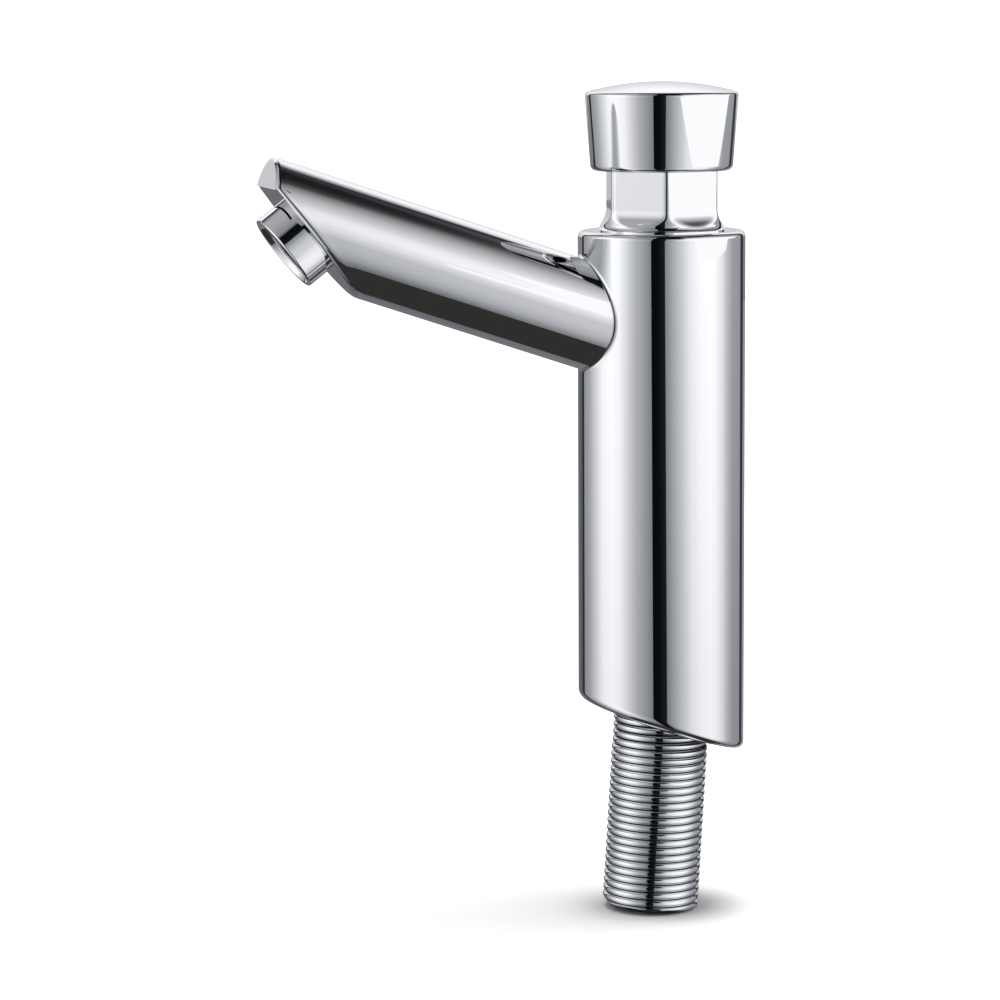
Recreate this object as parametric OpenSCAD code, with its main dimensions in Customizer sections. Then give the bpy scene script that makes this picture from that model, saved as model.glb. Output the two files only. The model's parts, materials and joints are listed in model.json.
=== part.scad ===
// Push timed basin tap with a leaning body, a rising tube spout and a threaded shank.
// The Z axis is the body's own axis, which the push button slides along.
// The origin is where that axis meets the oblique foot, and the spout points to -X.
// All sizes are in millimetres and all angles in degrees.

/* [Body] */
// Height of the body on its axis, from the foot face to the top rim
body_h = 107.6; // [103:0.1:125]
// Outside diameter of the body
body_d = 36; // [35:0.1:42]
// Angle between the foot face and a face square to the body
foot_angle = 18.7; // [12:0.1:21]
// Radius of the rounded edge round the body's top
body_edge = 1.2; // [0.4:0.1:1.8]
// Radius of the rounded edge round the foot
foot_edge = 2.4; // [1:0.1:2.6]
// Bore in the upper body that holds the cartridge
body_bore_d = 26.2; // [25.6:0.2:26.8]
// Bore of the water chamber below the cartridge
chamber_d = 18; // [16:0.2:19]
// Thickness of brass left between the shank socket and the water chamber
chamber_land = 7.5; // [4:0.5:10]

/* [Spout] */
// Distance below the top rim at which the spout's axis meets the body's axis
spout_drop = 23.6; // [21:0.1:26]
// Angle at which the spout rises
spout_rise = 18.7; // [12:0.1:22]
// Outside diameter of the spout
spout_d = 22.8; // [21:0.2:24]
// Distance along the spout from the body's axis to the middle of its end face
spout_reach = 85.2; // [78:0.2:110]
// Distance along the spout from the middle of the end face to the blunt nose
nose_over = 7; // [5:0.2:12]
// Angle between the nose and an end cut square to the spout
nose_angle = 7; // [0:0.5:18]
// Wall of the spout tube
spout_wall = 2.5; // [2:0.1:3.5]
// Outside diameter of the tenon that is brazed into the body
tenon_d = 18.8; // [17.6:0.2:20]
// Bore of the tenon
tenon_bore_d = 15; // [12:0.2:16]
// Length of the narrow tenon bore, along the spout from the body's axis
tenon_bore_len = 25; // [23:0.5:32]
// Angle of the outlet's axis from straight down, with the body upright
outlet_angle = 52.5; // [48:0.5:58]
// Solid metal behind the end face, along the outlet's axis
end_wall = 9; // [8.4:0.1:10]

/* [Aerator] */
// Outside diameter of the collar
collar_d = 17.5; // [17:0.1:18.4]
// Length of the collar that stands out of the end face
collar_len = 6; // [5.4:0.1:8]
// Diameter of the collar's spigot in the end face
collar_spigot_d = 15.7; // [15.2:0.1:16.2]
// Length of the collar's spigot
collar_spigot_len = 5.6; // [4.6:0.1:6.6]
// Bore of the collar, which holds the insert
collar_bore_d = 13.9; // [13.2:0.1:14.4]
// Distance of the collar from the middle of the end face, towards the heel
collar_offset = 4; // [3.6:0.1:5]
// Diameter of the open mouth at the collar's rim
mouth_d = 15.7; // [15.2:0.1:16.4]
// Depth of the recessed mouth below the collar's rim
mouth_depth = 1; // [0.6:0.1:1.4]
// Radius of the collar's rounded outer edge
collar_edge = 0.4; // [0.2:0.1:0.5]
// Width of the lip that holds the insert in
lip_w = 0.5; // [0.3:0.1:0.8]
// Thickness of the lip that holds the insert in
lip_t = 0.8; // [0.5:0.1:1.2]
// Wall of the insert
insert_wall = 0.8; // [0.6:0.1:0.9]
// Thickness of the flow plate at the bottom of the insert
flow_plate_t = 2.4; // [1.6:0.1:3]
// Diameter of each hole in the flow plate
flow_hole_d = 1.3; // [0.9:0.1:1.4]
// Distance between rows of holes in the flow plate
flow_pitch = 1.75; // [1.6:0.05:1.8]
// Rows of holes round the middle one
flow_rows = 3; // [2:1:3]
// Thickness of the wire screen
screen_t = 0.6; // [0.4:0.1:1]
// Diameter of each opening in the wire screen
screen_hole_d = 1; // [0.6:0.1:1.2]
// Thickness of the washer above the aerator
collar_washer_t = 1.4; // [1:0.1:1.8]

/* [Shank] */
// Outside diameter of the shank's thread, which is a pipe thread of half an inch
shank_d = 20.96; // [20.6:0.02:21.2]
// Length of the shank below the foot, along its own axis
shank_len = 40.2; // [36:0.1:70]
// Angle between the shank and the body's axis
shank_lean = 3.5; // [0:0.1:8]
// Diameter of the plain part between the thread and the body
relief_d = 20.4; // [20:0.1:20.6]
// Length of the plain part below the foot
relief_len = 3.8; // [3.6:0.1:6]
// Length of the shank inside the body
spigot_len = 14; // [10:0.5:16]
// Bore of the shank
shank_bore_d = 14; // [12:0.2:15]
// Chamfer at the shank's lower end
shank_chamfer = 0.8; // [0.4:0.1:1.2]
// Diameter of the strainer's rim
strainer_rim_d = 16.4; // [15.8:0.1:16.8]
// Thickness of the strainer's rim
strainer_rim_t = 1.4; // [1:0.1:2]
// Height of the strainer's basket
strainer_h = 9; // [6:0.5:14]
// Wall of the strainer's basket
strainer_wall = 0.8; // [0.6:0.1:1.2]
// Slots round the strainer's basket
strainer_slots = 8; // [6:1:10]
// Width of each slot
strainer_slot_w = 1.4; // [0.8:0.1:1.8]
// Diameter of each hole in the strainer's closed end
strainer_hole_d = 1.6; // [1:0.1:2]
// Distance between rows of holes in the strainer's closed end
strainer_pitch = 2.5; // [2.3:0.1:2.6]

/* [Base seal] */
// Outside diameter of the seal under the foot
base_seal_d = 29; // [28.4:0.1:30]
// Inside diameter of the seal under the foot
base_seal_bore = 23; // [22.8:0.1:24]
// Thickness of the seal under the foot
base_seal_t = 1.9; // [1.5:0.1:2.4]
// Height of the seal that stands proud of the foot before the tap is clamped
base_seal_proud = 0.3; // [0.1:0.1:0.5]

/* [Bonnet] */
// Diameter of the bonnet's neck over its turned corners, which the button slides on
neck_d = 26.2; // [25.8:0.1:26.6]
// Distance between two opposite flats of the neck
neck_flats = 22.8; // [22.2:0.1:23.4]
// Turn of the neck's flats round the body's axis
neck_turn = -12.5; // [-30:0.5:30]
// Height above the body's rim at which the flats begin to curve outwards
flat_rise = 4.8; // [4.4:0.1:6]
// Radius of that hollow curve at the lower end of each flat
flat_root_r = 4.2; // [3.6:0.1:4.4]
// Diameter of the bonnet's flange on top of the body
flange_d = 27.6; // [27.4:0.1:28.4]
// Radius of the hollow curve between the neck and the flange
flare_r = 1.6; // [1.5:0.1:2.4]
// Depth of the bonnet's spigot in the body
bonnet_spigot = 7; // [6:0.1:7.4]
// Bore of the bonnet's open top
bonnet_bore_d = 18; // [16:0.2:19]
// Height of the bonnet's floor above the body's rim
bonnet_floor = 3; // [2:0.1:4]
// Outside diameter of the bush that guides the push rod
bush_d = 8.9; // [8:0.1:10]
// Diameter of the bush's flange
bush_flange_d = 13; // [11:0.2:15]
// Thickness of the bush's flange
bush_flange_t = 1; // [0.6:0.1:1.4]
// Outside diameter of the rod seal and its retainer
rod_seal_d = 10.9; // [10:0.1:12]
// Thickness of the rod seal
rod_seal_t = 2; // [1.6:0.1:2.4]
// Thickness of the rod seal's retainer
retainer_t = 1; // [0.6:0.1:1.2]
// Radial gap between the retainer and the push rod
retainer_gap = 0.3; // [0.3:0.05:0.6]
// Thickness of the round seals in the bonnet and the cartridge
ring_seal_t = 1.5; // [1.2:0.1:1.8]

/* [Button] */
// Distance that the button travels
button_travel = 8; // [5:0.5:8.5]
// Height of the button's lower edge above the body's rim
button_lift = 12.8; // [12:0.1:16]
// Diameter of the button at its lower edge
button_base_d = 30.4; // [29.6:0.1:32]
// Diameter of the button at the top of its side
button_top_d = 33; // [31:0.1:35]
// Height of the button's tapering side
button_side_h = 16.6; // [16.2:0.1:20]
// Rise of the button's dome above its side
dome_h = 2.3; // [1:0.1:4]
// Radius of the button's rounded lower edge
button_base_edge = 1.3; // [0.5:0.1:1.6]
// Radius of the button's rounded upper edge
button_top_edge = 0.7; // [0.4:0.1:1.2]
// Height of the inner band that guides the button on the neck
guide_h = 4; // [3:0.1:5]
// Depth of the hollow above the guide band into the button's wall
hollow_relief = 0.8; // [0.6:0.1:1]
// Distance from the neck's top to the button's guide band
neck_over = 1.4; // [0.8:0.1:2]
// Diameter of the boss inside the button
boss_d = 11; // [9:0.2:13]
// Depth of the rod's end in the boss
rod_grip = 8.5; // [6:0.5:9]
// Distance between two flats of the rod's lock nut
lock_nut_w = 8; // [7.4:0.1:9]
// Thickness of the rod's lock nut
lock_nut_t = 3; // [2:0.1:3.2]

/* [Cartridge] */
// Length of the cartridge sleeve
sleeve_h = 38; // [36.5:0.1:40]
// Height of the sleeve's thick lower end
sleeve_foot_h = 12; // [10:0.1:12.4]
// Outside diameter of the sleeve beside the water gallery
sleeve_d = 22; // [21:0.2:23]
// Wall of the sleeve beside the water gallery
sleeve_wall = 1.8; // [1.4:0.1:2.2]
// Outside diameter of the valve seat
seat_d = 20.9; // [19.6:0.1:22]
// Thickness of the valve seat
seat_t = 3.5; // [2.5:0.1:4]
// Bore of the valve seat
seat_bore_d = 9.2; // [8:0.1:10]
// Width of the valve seat's raised lip
seat_lip_w = 0.8; // [0.5:0.1:1]
// Height of the valve seat's raised lip
seat_lip_h = 0.8; // [0.5:0.1:1.2]
// Water ports round the sleeve
port_count = 8; // [6:1:10]
// Diameter of each water port
port_d = 3.2; // [2.4:0.1:3.4]
// Height of the ports' middle above the sleeve's thick end
port_rise = 2.7; // [2.2:0.1:2.8]
// Width of the groove that lets the timing chamber empty slowly
bleed_w = 0.5; // [0.3:0.1:0.8]

/* [Push rod and piston] */
// Diameter of the push rod's upper part
rod_d = 5; // [4.6:0.1:5.4]
// Diameter of the push rod's lower part
rod_tail_d = 4; // [3.4:0.1:4.2]
// Height of the piston's underside above the sleeve's lower end
piston_rise = 24.5; // [24.2:0.1:26]
// Thickness of the piston's disc
piston_t = 2.2; // [1.6:0.1:3]
// Diameter of the piston's hub
hub_d = 9.6; // [8.6:0.1:10.4]
// Height of the piston's hub above its disc
hub_h = 3.8; // [3:0.1:4.2]
// Wall of each lip of the lip seal
lip_wall = 1.2; // [0.9:0.1:1.4]
// Depth of the groove between the lip seal's lips
lip_groove = 2; // [1:0.1:2.4]
// Diameter of the washer above the lip seal
piston_washer_d = 14; // [12:0.2:15]
// Thickness of the washer above the lip seal
piston_washer_t = 1; // [0.6:0.1:1.4]

/* [Valve] */
// Diameter of the valve washer
valve_washer_d = 12; // [11.6:0.1:12.6]
// Thickness of the valve washer
valve_washer_t = 2.5; // [2:0.1:3]
// Thickness of the carrier under the valve washer
carrier_t = 2; // [1.4:0.1:2.6]
// Width of the carrier's rim round the valve washer
carrier_rim_w = 0.5; // [0.4:0.1:0.8]
// Height of the carrier's rim round the valve washer
carrier_rim_h = 1.4; // [0.8:0.1:1.8]
// Distance between two flats of the nut under the carrier
valve_nut_w = 7; // [6.4:0.1:8]
// Thickness of the nut under the carrier
valve_nut_t = 3.2; // [2.4:0.1:4]
// Length of the rod below that nut
rod_end = 1; // [0.5:0.1:2]

/* [Return spring] */
// Mean diameter of the return spring
spring_d = 12; // [11:0.2:14]
// Diameter of the spring's wire
wire_d = 1.2; // [0.8:0.1:1.4]
// Turns of the return spring
spring_turns = 6; // [4:0.5:6.5]
// Thickness of the washer under the return spring
spring_washer_t = 1; // [0.6:0.1:1.4]
// Bore of the washer under the return spring
spring_washer_bore = 9.4; // [9:0.1:9.8]

/* [Fits] */
// Radial gap where a fixed piece sits in its socket
seat_gap = 0.05; // [0.03:0.01:0.1]
// Radial gap of the button on the neck and of the piston in the sleeve
slide_gap = 0.08; // [0.03:0.01:0.1]
// Radial gap of the push rod in its bush and seal
rod_gap = 0.06; // [0.03:0.01:0.1]
// Free distance left above the neck when the button is fully pressed
stop_gap = 0.6; // [0.4:0.1:1]

/* [Hidden] */

// Colours of the finishes
chrome = [0.80, 0.81, 0.83];
brass = [0.80, 0.66, 0.36];
steel = [0.62, 0.64, 0.67];
rubber = [0.09, 0.09, 0.10];
nylon = [0.86, 0.86, 0.84];

// Smoothness of round pieces, of small holes and of rounded edges
round_fn = 96;
hole_fn = 32;
edge_steps = 8;
// Angle at which the rounding of the foot's edge ends
foot_edge_end = -35;
// Overlap that makes a cut pass clean through a face
through = 1;
// Size of a block that is larger than the whole tap
far = 300;

// Radii worked out from the diameters
body_r = body_d / 2;
bore_r = body_bore_d / 2;
chamber_r = chamber_d / 2;
spout_r = spout_d / 2;
spout_bore_r = spout_r - spout_wall;
neck_r = neck_d / 2;
flange_r = flange_d / 2;
rod_r = rod_d / 2;
rod_tail_r = rod_tail_d / 2;
timing_r = sleeve_d / 2 - sleeve_wall;
shank_bore_r = shank_bore_d / 2;

// Heights on the body's axis
bonnet_base_z = body_h - bonnet_spigot;
bore_floor_z = bonnet_base_z - sleeve_h;
chamber_floor_z = spigot_len + chamber_land;
sleeve_step_z = bore_floor_z + sleeve_foot_h;
port_z = sleeve_step_z + port_rise;
seat_lip_z = bore_floor_z - seat_lip_h;
seat_top_z = bore_floor_z + seat_t;
spring_base_z = seat_top_z + spring_washer_t;
piston_z = bore_floor_z + piston_rise;
bleed_base_z = piston_z - button_travel;
seal_base_z = piston_z + piston_t;
hub_top_z = seal_base_z + hub_h;
shoulder_z = hub_top_z + piston_washer_t;
carrier_top_z = seat_lip_z - valve_washer_t;
carrier_base_z = carrier_top_z - carrier_t;
valve_nut_z = carrier_base_z - valve_nut_t;
rod_bottom_z = valve_nut_z - rod_end;
bonnet_floor_z = body_h + bonnet_floor;
rod_seal_top_z = bonnet_base_z + retainer_t + rod_seal_t;
button_base_z = body_h + button_lift;
neck_top_z = button_base_z + guide_h + neck_over;
ceiling_z = neck_top_z + button_travel + stop_gap;
button_side_z = button_base_z + button_side_h;
lock_nut_z = bonnet_floor_z + bush_flange_t + button_travel + stop_gap;
boss_base_z = lock_nut_z + lock_nut_t;
rod_top_z = boss_base_z + rod_grip;

// Sizes of the round seals and their grooves
ring_seal_r = ring_seal_t / 2;
ring_seal_line_r = bore_r - seat_gap - ring_seal_r;
groove_r = ring_seal_line_r - ring_seal_r - seat_gap;
groove_h = ring_seal_t + 0.4;
bonnet_ring_z = bonnet_base_z + bonnet_spigot / 2;
cartridge_ring_z = bore_floor_z + sleeve_foot_h / 2;

// Sizes of the aerator, measured along the outlet's axis from the end face
socket_r = collar_spigot_d / 2 + seat_gap;
socket_depth = collar_spigot_len + collar_washer_t;
insert_r = collar_bore_d / 2 - seat_gap;
lip_r = collar_bore_d / 2 - lip_w;
lip_top = collar_len - mouth_depth - lip_t;
outlet_port_r = insert_r - insert_wall;

// Sizes of the return spring
spring_rest_h = piston_z - spring_base_z;
spring_r = spring_d / 2;
wire_r = wire_d / 2;
rings_per_turn = 8;
wire_sides = 6;
spring_rings = spring_turns * rings_per_turn;
spring_pitch = (spring_rest_h - wire_d) / spring_turns;
spring_slope = atan(spring_pitch / (2 * PI * spring_r));
spring_start_z = spring_base_z + wire_r * cos(spring_slope);
spring_climb = spring_rest_h - wire_d * cos(spring_slope);

// Points of a rounded corner, on a circle about a centre, from one angle to another
function arc(centre, r, from, to, steps = edge_steps) =
    [for (i = [0 : steps]) let (a = from + (to - from) * i / steps)
        centre + r * [cos(a), sin(a)]];

// Turns its children so that their Z axis runs up the spout
module along_spout() {
    translate([0, 0, body_h - spout_drop])
        rotate([0, spout_rise - 90, 0])
            children();
}

// Places its children on the end face, with their Z axis along the leaving water
module at_outlet() {
    along_spout()
        translate([0, 0, spout_reach])
            rotate([0, 270 + outlet_angle - spout_rise, 0])
                children();
}

// Places its children on the nose, with their Z axis pointing out of it
module at_nose() {
    along_spout()
        translate([0, 0, spout_reach + nose_over])
            rotate([0, -nose_angle, 0])
                children();
}

// Places its children on the middle of the aerator, with their Z axis along the leaving water
module at_aerator() {
    at_outlet()
        translate([-collar_offset, 0, 0])
            children();
}

// Turns its children so that their Z axis runs up the leaning shank
module along_shank() {
    rotate([0, shank_lean, 0])
        children();
}

// Turns its children so that their Z axis stands square on the foot face
module on_foot() {
    rotate([0, foot_angle, 0])
        children();
}

// A flat ring or a tube between two heights
module ring(outer_r, inner_r, low, high) {
    rotate_extrude($fn = round_fn)
        translate([inner_r, low])
            square([outer_r - inner_r, high - low]);
}

// A hexagon nut between two heights, with a round hole
module hex_nut(width, hole_r, low, high) {
    difference() {
        translate([0, 0, low])
            cylinder(r = width / 2 / cos(30), h = high - low, $fn = 6);
        translate([0, 0, low - through])
            cylinder(r = hole_r, h = high - low + 2 * through, $fn = round_fn);
    }
}

// Round holes in rows about a middle one, laid out on a triangular grid
module hole_rows(rows, pitch, hole_d, low, high) {
    for (i = [-rows : rows], j = [-rows : rows])
        if (abs(i + j) <= rows)
            translate([pitch * (i + j / 2), pitch * j * sin(60), low])
                cylinder(d = hole_d, h = high - low, $fn = hole_fn);
}

// A round seal that lies in a groove at a height on the body's axis
module ring_seal(height) {
    color(rubber)
        rotate_extrude($fn = round_fn)
            translate([ring_seal_line_r, height])
                circle(r = ring_seal_r, $fn = hole_fn);
}

// The outside of the body without its foot, with a rounded top edge
module body_blank() {
    low = -body_r * tan(foot_angle) - through;
    rotate_extrude($fn = round_fn)
        polygon(concat(
            [[0, low], [body_r, low]],
            arc([body_r - body_edge, body_h - body_edge], body_edge, 0, 90),
            [[0, body_h]]));
}

// A wide dish that stands in the foot face and rounds the edge of the body, most of all at the toe
module foot_form() {
    flat_r = body_r - foot_edge / 2;
    rim = [flat_r, foot_edge] + foot_edge * [cos(foot_edge_end), sin(foot_edge_end)];
    on_foot()
        translate([foot_edge / 4, 0, 0])
            rotate_extrude($fn = round_fn)
                polygon(concat(
                    arc([flat_r, foot_edge], foot_edge, -90, foot_edge_end),
                    [rim + far * [-sin(foot_edge_end), cos(foot_edge_end)],
                    [0, far],
                    [0, 0]]));
}

// Everything that is bored out of the body from above, on its own axis
module body_bores() {
    rotate_extrude($fn = round_fn)
        polygon([
            [0, spigot_len - 2],
            [shank_bore_r, spigot_len - 2],
            [shank_bore_r, chamber_floor_z],
            [chamber_r, chamber_floor_z + chamber_r - shank_bore_r],
            [chamber_r, bore_floor_z],
            [bore_r, bore_floor_z],
            [bore_r, body_h + through],
            [0, body_h + through]]);
}

module tap_body() {
    color(chrome)
        difference() {
            intersection() {
                body_blank();
                foot_form();
            }
            body_bores();
            along_spout()
                cylinder(r = tenon_d / 2 + seat_gap, h = body_d, $fn = round_fn);
            along_shank()
                translate([0, 0, -far / 4])
                    cylinder(r = relief_d / 2 + seat_gap, h = far / 4 + spigot_len, $fn = round_fn);
            on_foot()
                translate([0, 0, -far / 4])
                    cylinder(r = base_seal_d / 2 + seat_gap,
                        h = far / 4 + base_seal_t - base_seal_proud, $fn = round_fn);
        }
}

// The hollow of the spout, which stops short of the solid metal behind the end face
module spout_waterway() {
    along_spout()
        cylinder(d = tenon_bore_d, h = tenon_bore_len + through, $fn = round_fn);
    difference() {
        along_spout()
            translate([0, 0, tenon_bore_len])
                cylinder(r = spout_bore_r, h = spout_reach, $fn = round_fn);
        at_outlet()
            translate([-far / 2, -far / 2, -end_wall])
                cube([far, far, far]);
    }
}

module spout() {
    color(chrome)
        difference() {
            union() {
                difference() {
                    along_spout()
                        cylinder(r = spout_r, h = 2 * spout_reach, $fn = round_fn);
                    cylinder(r = body_r + seat_gap, h = 2 * body_h, $fn = round_fn);
                }
                difference() {
                    along_spout()
                        cylinder(d = tenon_d, h = tenon_bore_len, $fn = round_fn);
                    cylinder(r = bore_r + seat_gap, h = 2 * body_h, $fn = round_fn);
                }
            }
            at_outlet()
                translate([-far / 2, -far / 2, 0])
                    cube([far, far, far]);
            at_nose()
                translate([-far / 2, -far / 2, 0])
                    cube([far, far, far]);
            spout_waterway();
            at_aerator()
                translate([0, 0, -socket_depth])
                    cylinder(r = socket_r, h = socket_depth + through, $fn = round_fn);
            at_aerator()
                translate([0, 0, -end_wall - through])
                    cylinder(r = outlet_port_r, h = end_wall, $fn = round_fn);
        }
}

module shank() {
    thread_r = shank_d / 2;
    rim_recess_r = strainer_rim_d / 2 + seat_gap;
    color(chrome)
        along_shank()
            rotate_extrude($fn = round_fn)
                polygon([
                    [shank_bore_r, spigot_len],
                    [shank_bore_r, strainer_rim_t - shank_len],
                    [rim_recess_r, strainer_rim_t - shank_len],
                    [rim_recess_r, -shank_len],
                    [thread_r - shank_chamfer, -shank_len],
                    [thread_r, shank_chamfer - shank_len],
                    [thread_r, -relief_len],
                    [relief_d / 2, -relief_len],
                    [relief_d / 2, spigot_len]]);
}

module base_seal() {
    color(rubber)
        on_foot()
            ring(base_seal_d / 2, base_seal_bore / 2, -base_seal_proud, base_seal_t - base_seal_proud);
}

module inlet_strainer() {
    basket_r = shank_bore_r - seat_gap;
    rim_top = strainer_rim_t - shank_len;
    top = rim_top + strainer_h;
    color(steel)
        along_shank()
            difference() {
                rotate_extrude($fn = round_fn)
                    polygon([
                        [0, top],
                        [0, top - strainer_wall],
                        [basket_r - strainer_wall, top - strainer_wall],
                        [basket_r - strainer_wall, -shank_len],
                        [strainer_rim_d / 2, -shank_len],
                        [strainer_rim_d / 2, rim_top],
                        [basket_r, rim_top],
                        [basket_r, top]]);
                for (i = [0 : strainer_slots - 1])
                    rotate([0, 0, 360 * i / strainer_slots])
                        translate([0, -strainer_slot_w / 2, rim_top + strainer_wall])
                            cube([2 * basket_r, strainer_slot_w, strainer_h - 3 * strainer_wall]);
                hole_rows(2, strainer_pitch, strainer_hole_d, top - 2 * strainer_wall, top + through);
            }
}

module aerator_collar() {
    outer_r = collar_d / 2;
    step_r = (lip_r + mouth_d / 2) / 2;
    color(chrome)
        at_aerator()
            rotate_extrude($fn = round_fn)
                polygon(concat(
                    [[collar_bore_d / 2, -collar_spigot_len],
                    [collar_spigot_d / 2, -collar_spigot_len],
                    [collar_spigot_d / 2, 0],
                    [outer_r, 0]],
                    arc([outer_r - collar_edge, collar_len - collar_edge], collar_edge, 0, 90, 4),
                    [[mouth_d / 2, collar_len],
                    [step_r, collar_len - mouth_depth],
                    [lip_r, collar_len - mouth_depth],
                    [lip_r, lip_top],
                    [collar_bore_d / 2, lip_top]]));
}

module aerator_insert() {
    base = screen_t - collar_spigot_len;
    color(nylon)
        at_aerator()
            difference() {
                translate([0, 0, base])
                    cylinder(r = insert_r, h = lip_top - base, $fn = round_fn);
                translate([0, 0, base - through])
                    cylinder(r = insert_r - insert_wall,
                        h = lip_top - flow_plate_t - base + through, $fn = round_fn);
                hole_rows(flow_rows, flow_pitch, flow_hole_d,
                    lip_top - 2 * flow_plate_t, lip_top + through);
            }
}

module aerator_screen() {
    color(steel)
        at_aerator()
            difference() {
                translate([0, 0, -collar_spigot_len])
                    cylinder(r = insert_r, h = screen_t, $fn = round_fn);
                hole_rows(flow_rows, flow_pitch, screen_hole_d,
                    -collar_spigot_len - through, screen_t - collar_spigot_len + through);
            }
}

module aerator_washer() {
    color(rubber)
        at_aerator()
            ring(collar_spigot_d / 2, outlet_port_r, -socket_depth, -collar_spigot_len);
}

// Everything outside the flats of the neck, down to the hollow curves at their lower ends
module neck_flat_cuts() {
    sides = 6;
    for (i = [0 : sides - 1])
        rotate([0, 0, neck_turn + 360 * i / sides])
            translate([neck_flats / 2, 0, body_h + flat_rise]) {
                translate([0, -neck_d, 0])
                    cube([neck_d, 2 * neck_d, far]);
                translate([flat_root_r, 0, 0])
                    rotate([90, 0, 0])
                        cylinder(r = flat_root_r, h = 2 * neck_d, center = true, $fn = round_fn);
            }
}

module bonnet() {
    spigot_r = bore_r - seat_gap;
    flare_end = flare_r - sqrt(pow(flare_r, 2) - pow(neck_r + flare_r - flange_r, 2));
    flare_stop = 180 + asin((flare_r - flare_end) / flare_r);
    lead = 0.5;
    color(chrome)
        difference() {
            rotate_extrude($fn = round_fn)
                polygon(concat(
                    [[rod_seal_d / 2 + seat_gap, bonnet_base_z],
                    [spigot_r, bonnet_base_z],
                    [spigot_r, bonnet_ring_z - groove_h / 2],
                    [groove_r, bonnet_ring_z - groove_h / 2],
                    [groove_r, bonnet_ring_z + groove_h / 2],
                    [spigot_r, bonnet_ring_z + groove_h / 2],
                    [spigot_r, body_h],
                    [flange_r, body_h]],
                    arc([neck_r + flare_r, body_h + flare_r], flare_r, flare_stop, 180),
                    [[neck_r, neck_top_z - lead],
                    [neck_r - lead, neck_top_z],
                    [bonnet_bore_d / 2, neck_top_z],
                    [bonnet_bore_d / 2, bonnet_floor_z],
                    [bush_d / 2 + seat_gap, bonnet_floor_z],
                    [bush_d / 2 + seat_gap, rod_seal_top_z],
                    [rod_seal_d / 2 + seat_gap, rod_seal_top_z]]));
            neck_flat_cuts();
        }
}

module bonnet_ring_seal() {
    ring_seal(bonnet_ring_z);
}

module rod_guide_bush() {
    color(nylon)
        rotate_extrude($fn = round_fn)
            polygon([
                [rod_r + rod_gap, rod_seal_top_z],
                [bush_d / 2, rod_seal_top_z],
                [bush_d / 2, bonnet_floor_z],
                [bush_flange_d / 2, bonnet_floor_z],
                [bush_flange_d / 2, bonnet_floor_z + bush_flange_t],
                [rod_r + rod_gap, bonnet_floor_z + bush_flange_t]]);
}

module rod_seal() {
    color(rubber)
        ring(rod_seal_d / 2, rod_r + rod_gap, bonnet_base_z + retainer_t, rod_seal_top_z);
}

module seal_retainer() {
    color(steel)
        ring(rod_seal_d / 2, rod_r + retainer_gap, bonnet_base_z, bonnet_base_z + retainer_t);
}

module cartridge_sleeve() {
    foot_r = bore_r - seat_gap;
    color(brass)
        difference() {
            rotate_extrude($fn = round_fn)
                polygon([
                    [seat_d / 2 + seat_gap, bore_floor_z],
                    [foot_r, bore_floor_z],
                    [foot_r, cartridge_ring_z - groove_h / 2],
                    [groove_r, cartridge_ring_z - groove_h / 2],
                    [groove_r, cartridge_ring_z + groove_h / 2],
                    [foot_r, cartridge_ring_z + groove_h / 2],
                    [foot_r, sleeve_step_z],
                    [sleeve_d / 2, sleeve_step_z],
                    [sleeve_d / 2, bonnet_base_z],
                    [timing_r, bonnet_base_z],
                    [timing_r, seat_top_z],
                    [seat_d / 2 + seat_gap, seat_top_z]]);
            for (i = [0 : port_count - 1])
                rotate([0, 0, 360 * i / port_count])
                    translate([timing_r - through, 0, port_z])
                        rotate([0, 90, 0])
                            cylinder(d = port_d, h = sleeve_wall + 2 * through, $fn = hole_fn);
            translate([timing_r - through, -bleed_w / 2, bleed_base_z])
                cube([through + bleed_w, bleed_w, bonnet_base_z - bleed_base_z + through]);
        }
}

module cartridge_ring_seal() {
    ring_seal(cartridge_ring_z);
}

module valve_seat() {
    bore = seat_bore_d / 2;
    color(steel)
        rotate_extrude($fn = round_fn)
            polygon([
                [bore, seat_lip_z],
                [bore + seat_lip_w, seat_lip_z],
                [bore + seat_lip_w, bore_floor_z],
                [seat_d / 2, bore_floor_z],
                [seat_d / 2, seat_top_z],
                [bore, seat_top_z]]);
}

module spring_washer() {
    color(steel)
        ring(timing_r - seat_gap, spring_washer_bore / 2, seat_top_z, spring_base_z);
}

// Middle of the wire at each ring along the spring
function wire_middle(i) =
    let (turn = 360 * i / rings_per_turn)
    [spring_r * cos(turn), spring_r * sin(turn), spring_start_z + spring_climb * i / spring_rings];

// One corner of the wire's outline, which stands square to the wire
function wire_corner(i, side) =
    let (
        turn = 360 * i / rings_per_turn,
        a = 30 + 360 * side / wire_sides,
        outward = [cos(turn), sin(turn), 0],
        upward = [sin(spring_slope) * sin(turn), -sin(spring_slope) * cos(turn), cos(spring_slope)])
    wire_middle(i) + wire_r * (cos(a) * outward + sin(a) * upward);

// Least gap between two curls, measured between the rings' middles less the wire
function least_curl_gap() =
    min([for (i = [0 : spring_rings - rings_per_turn])
        for (j = [i + rings_per_turn / 2 : spring_rings])
            norm(wire_middle(i) - wire_middle(j)) - wire_d]);

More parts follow.
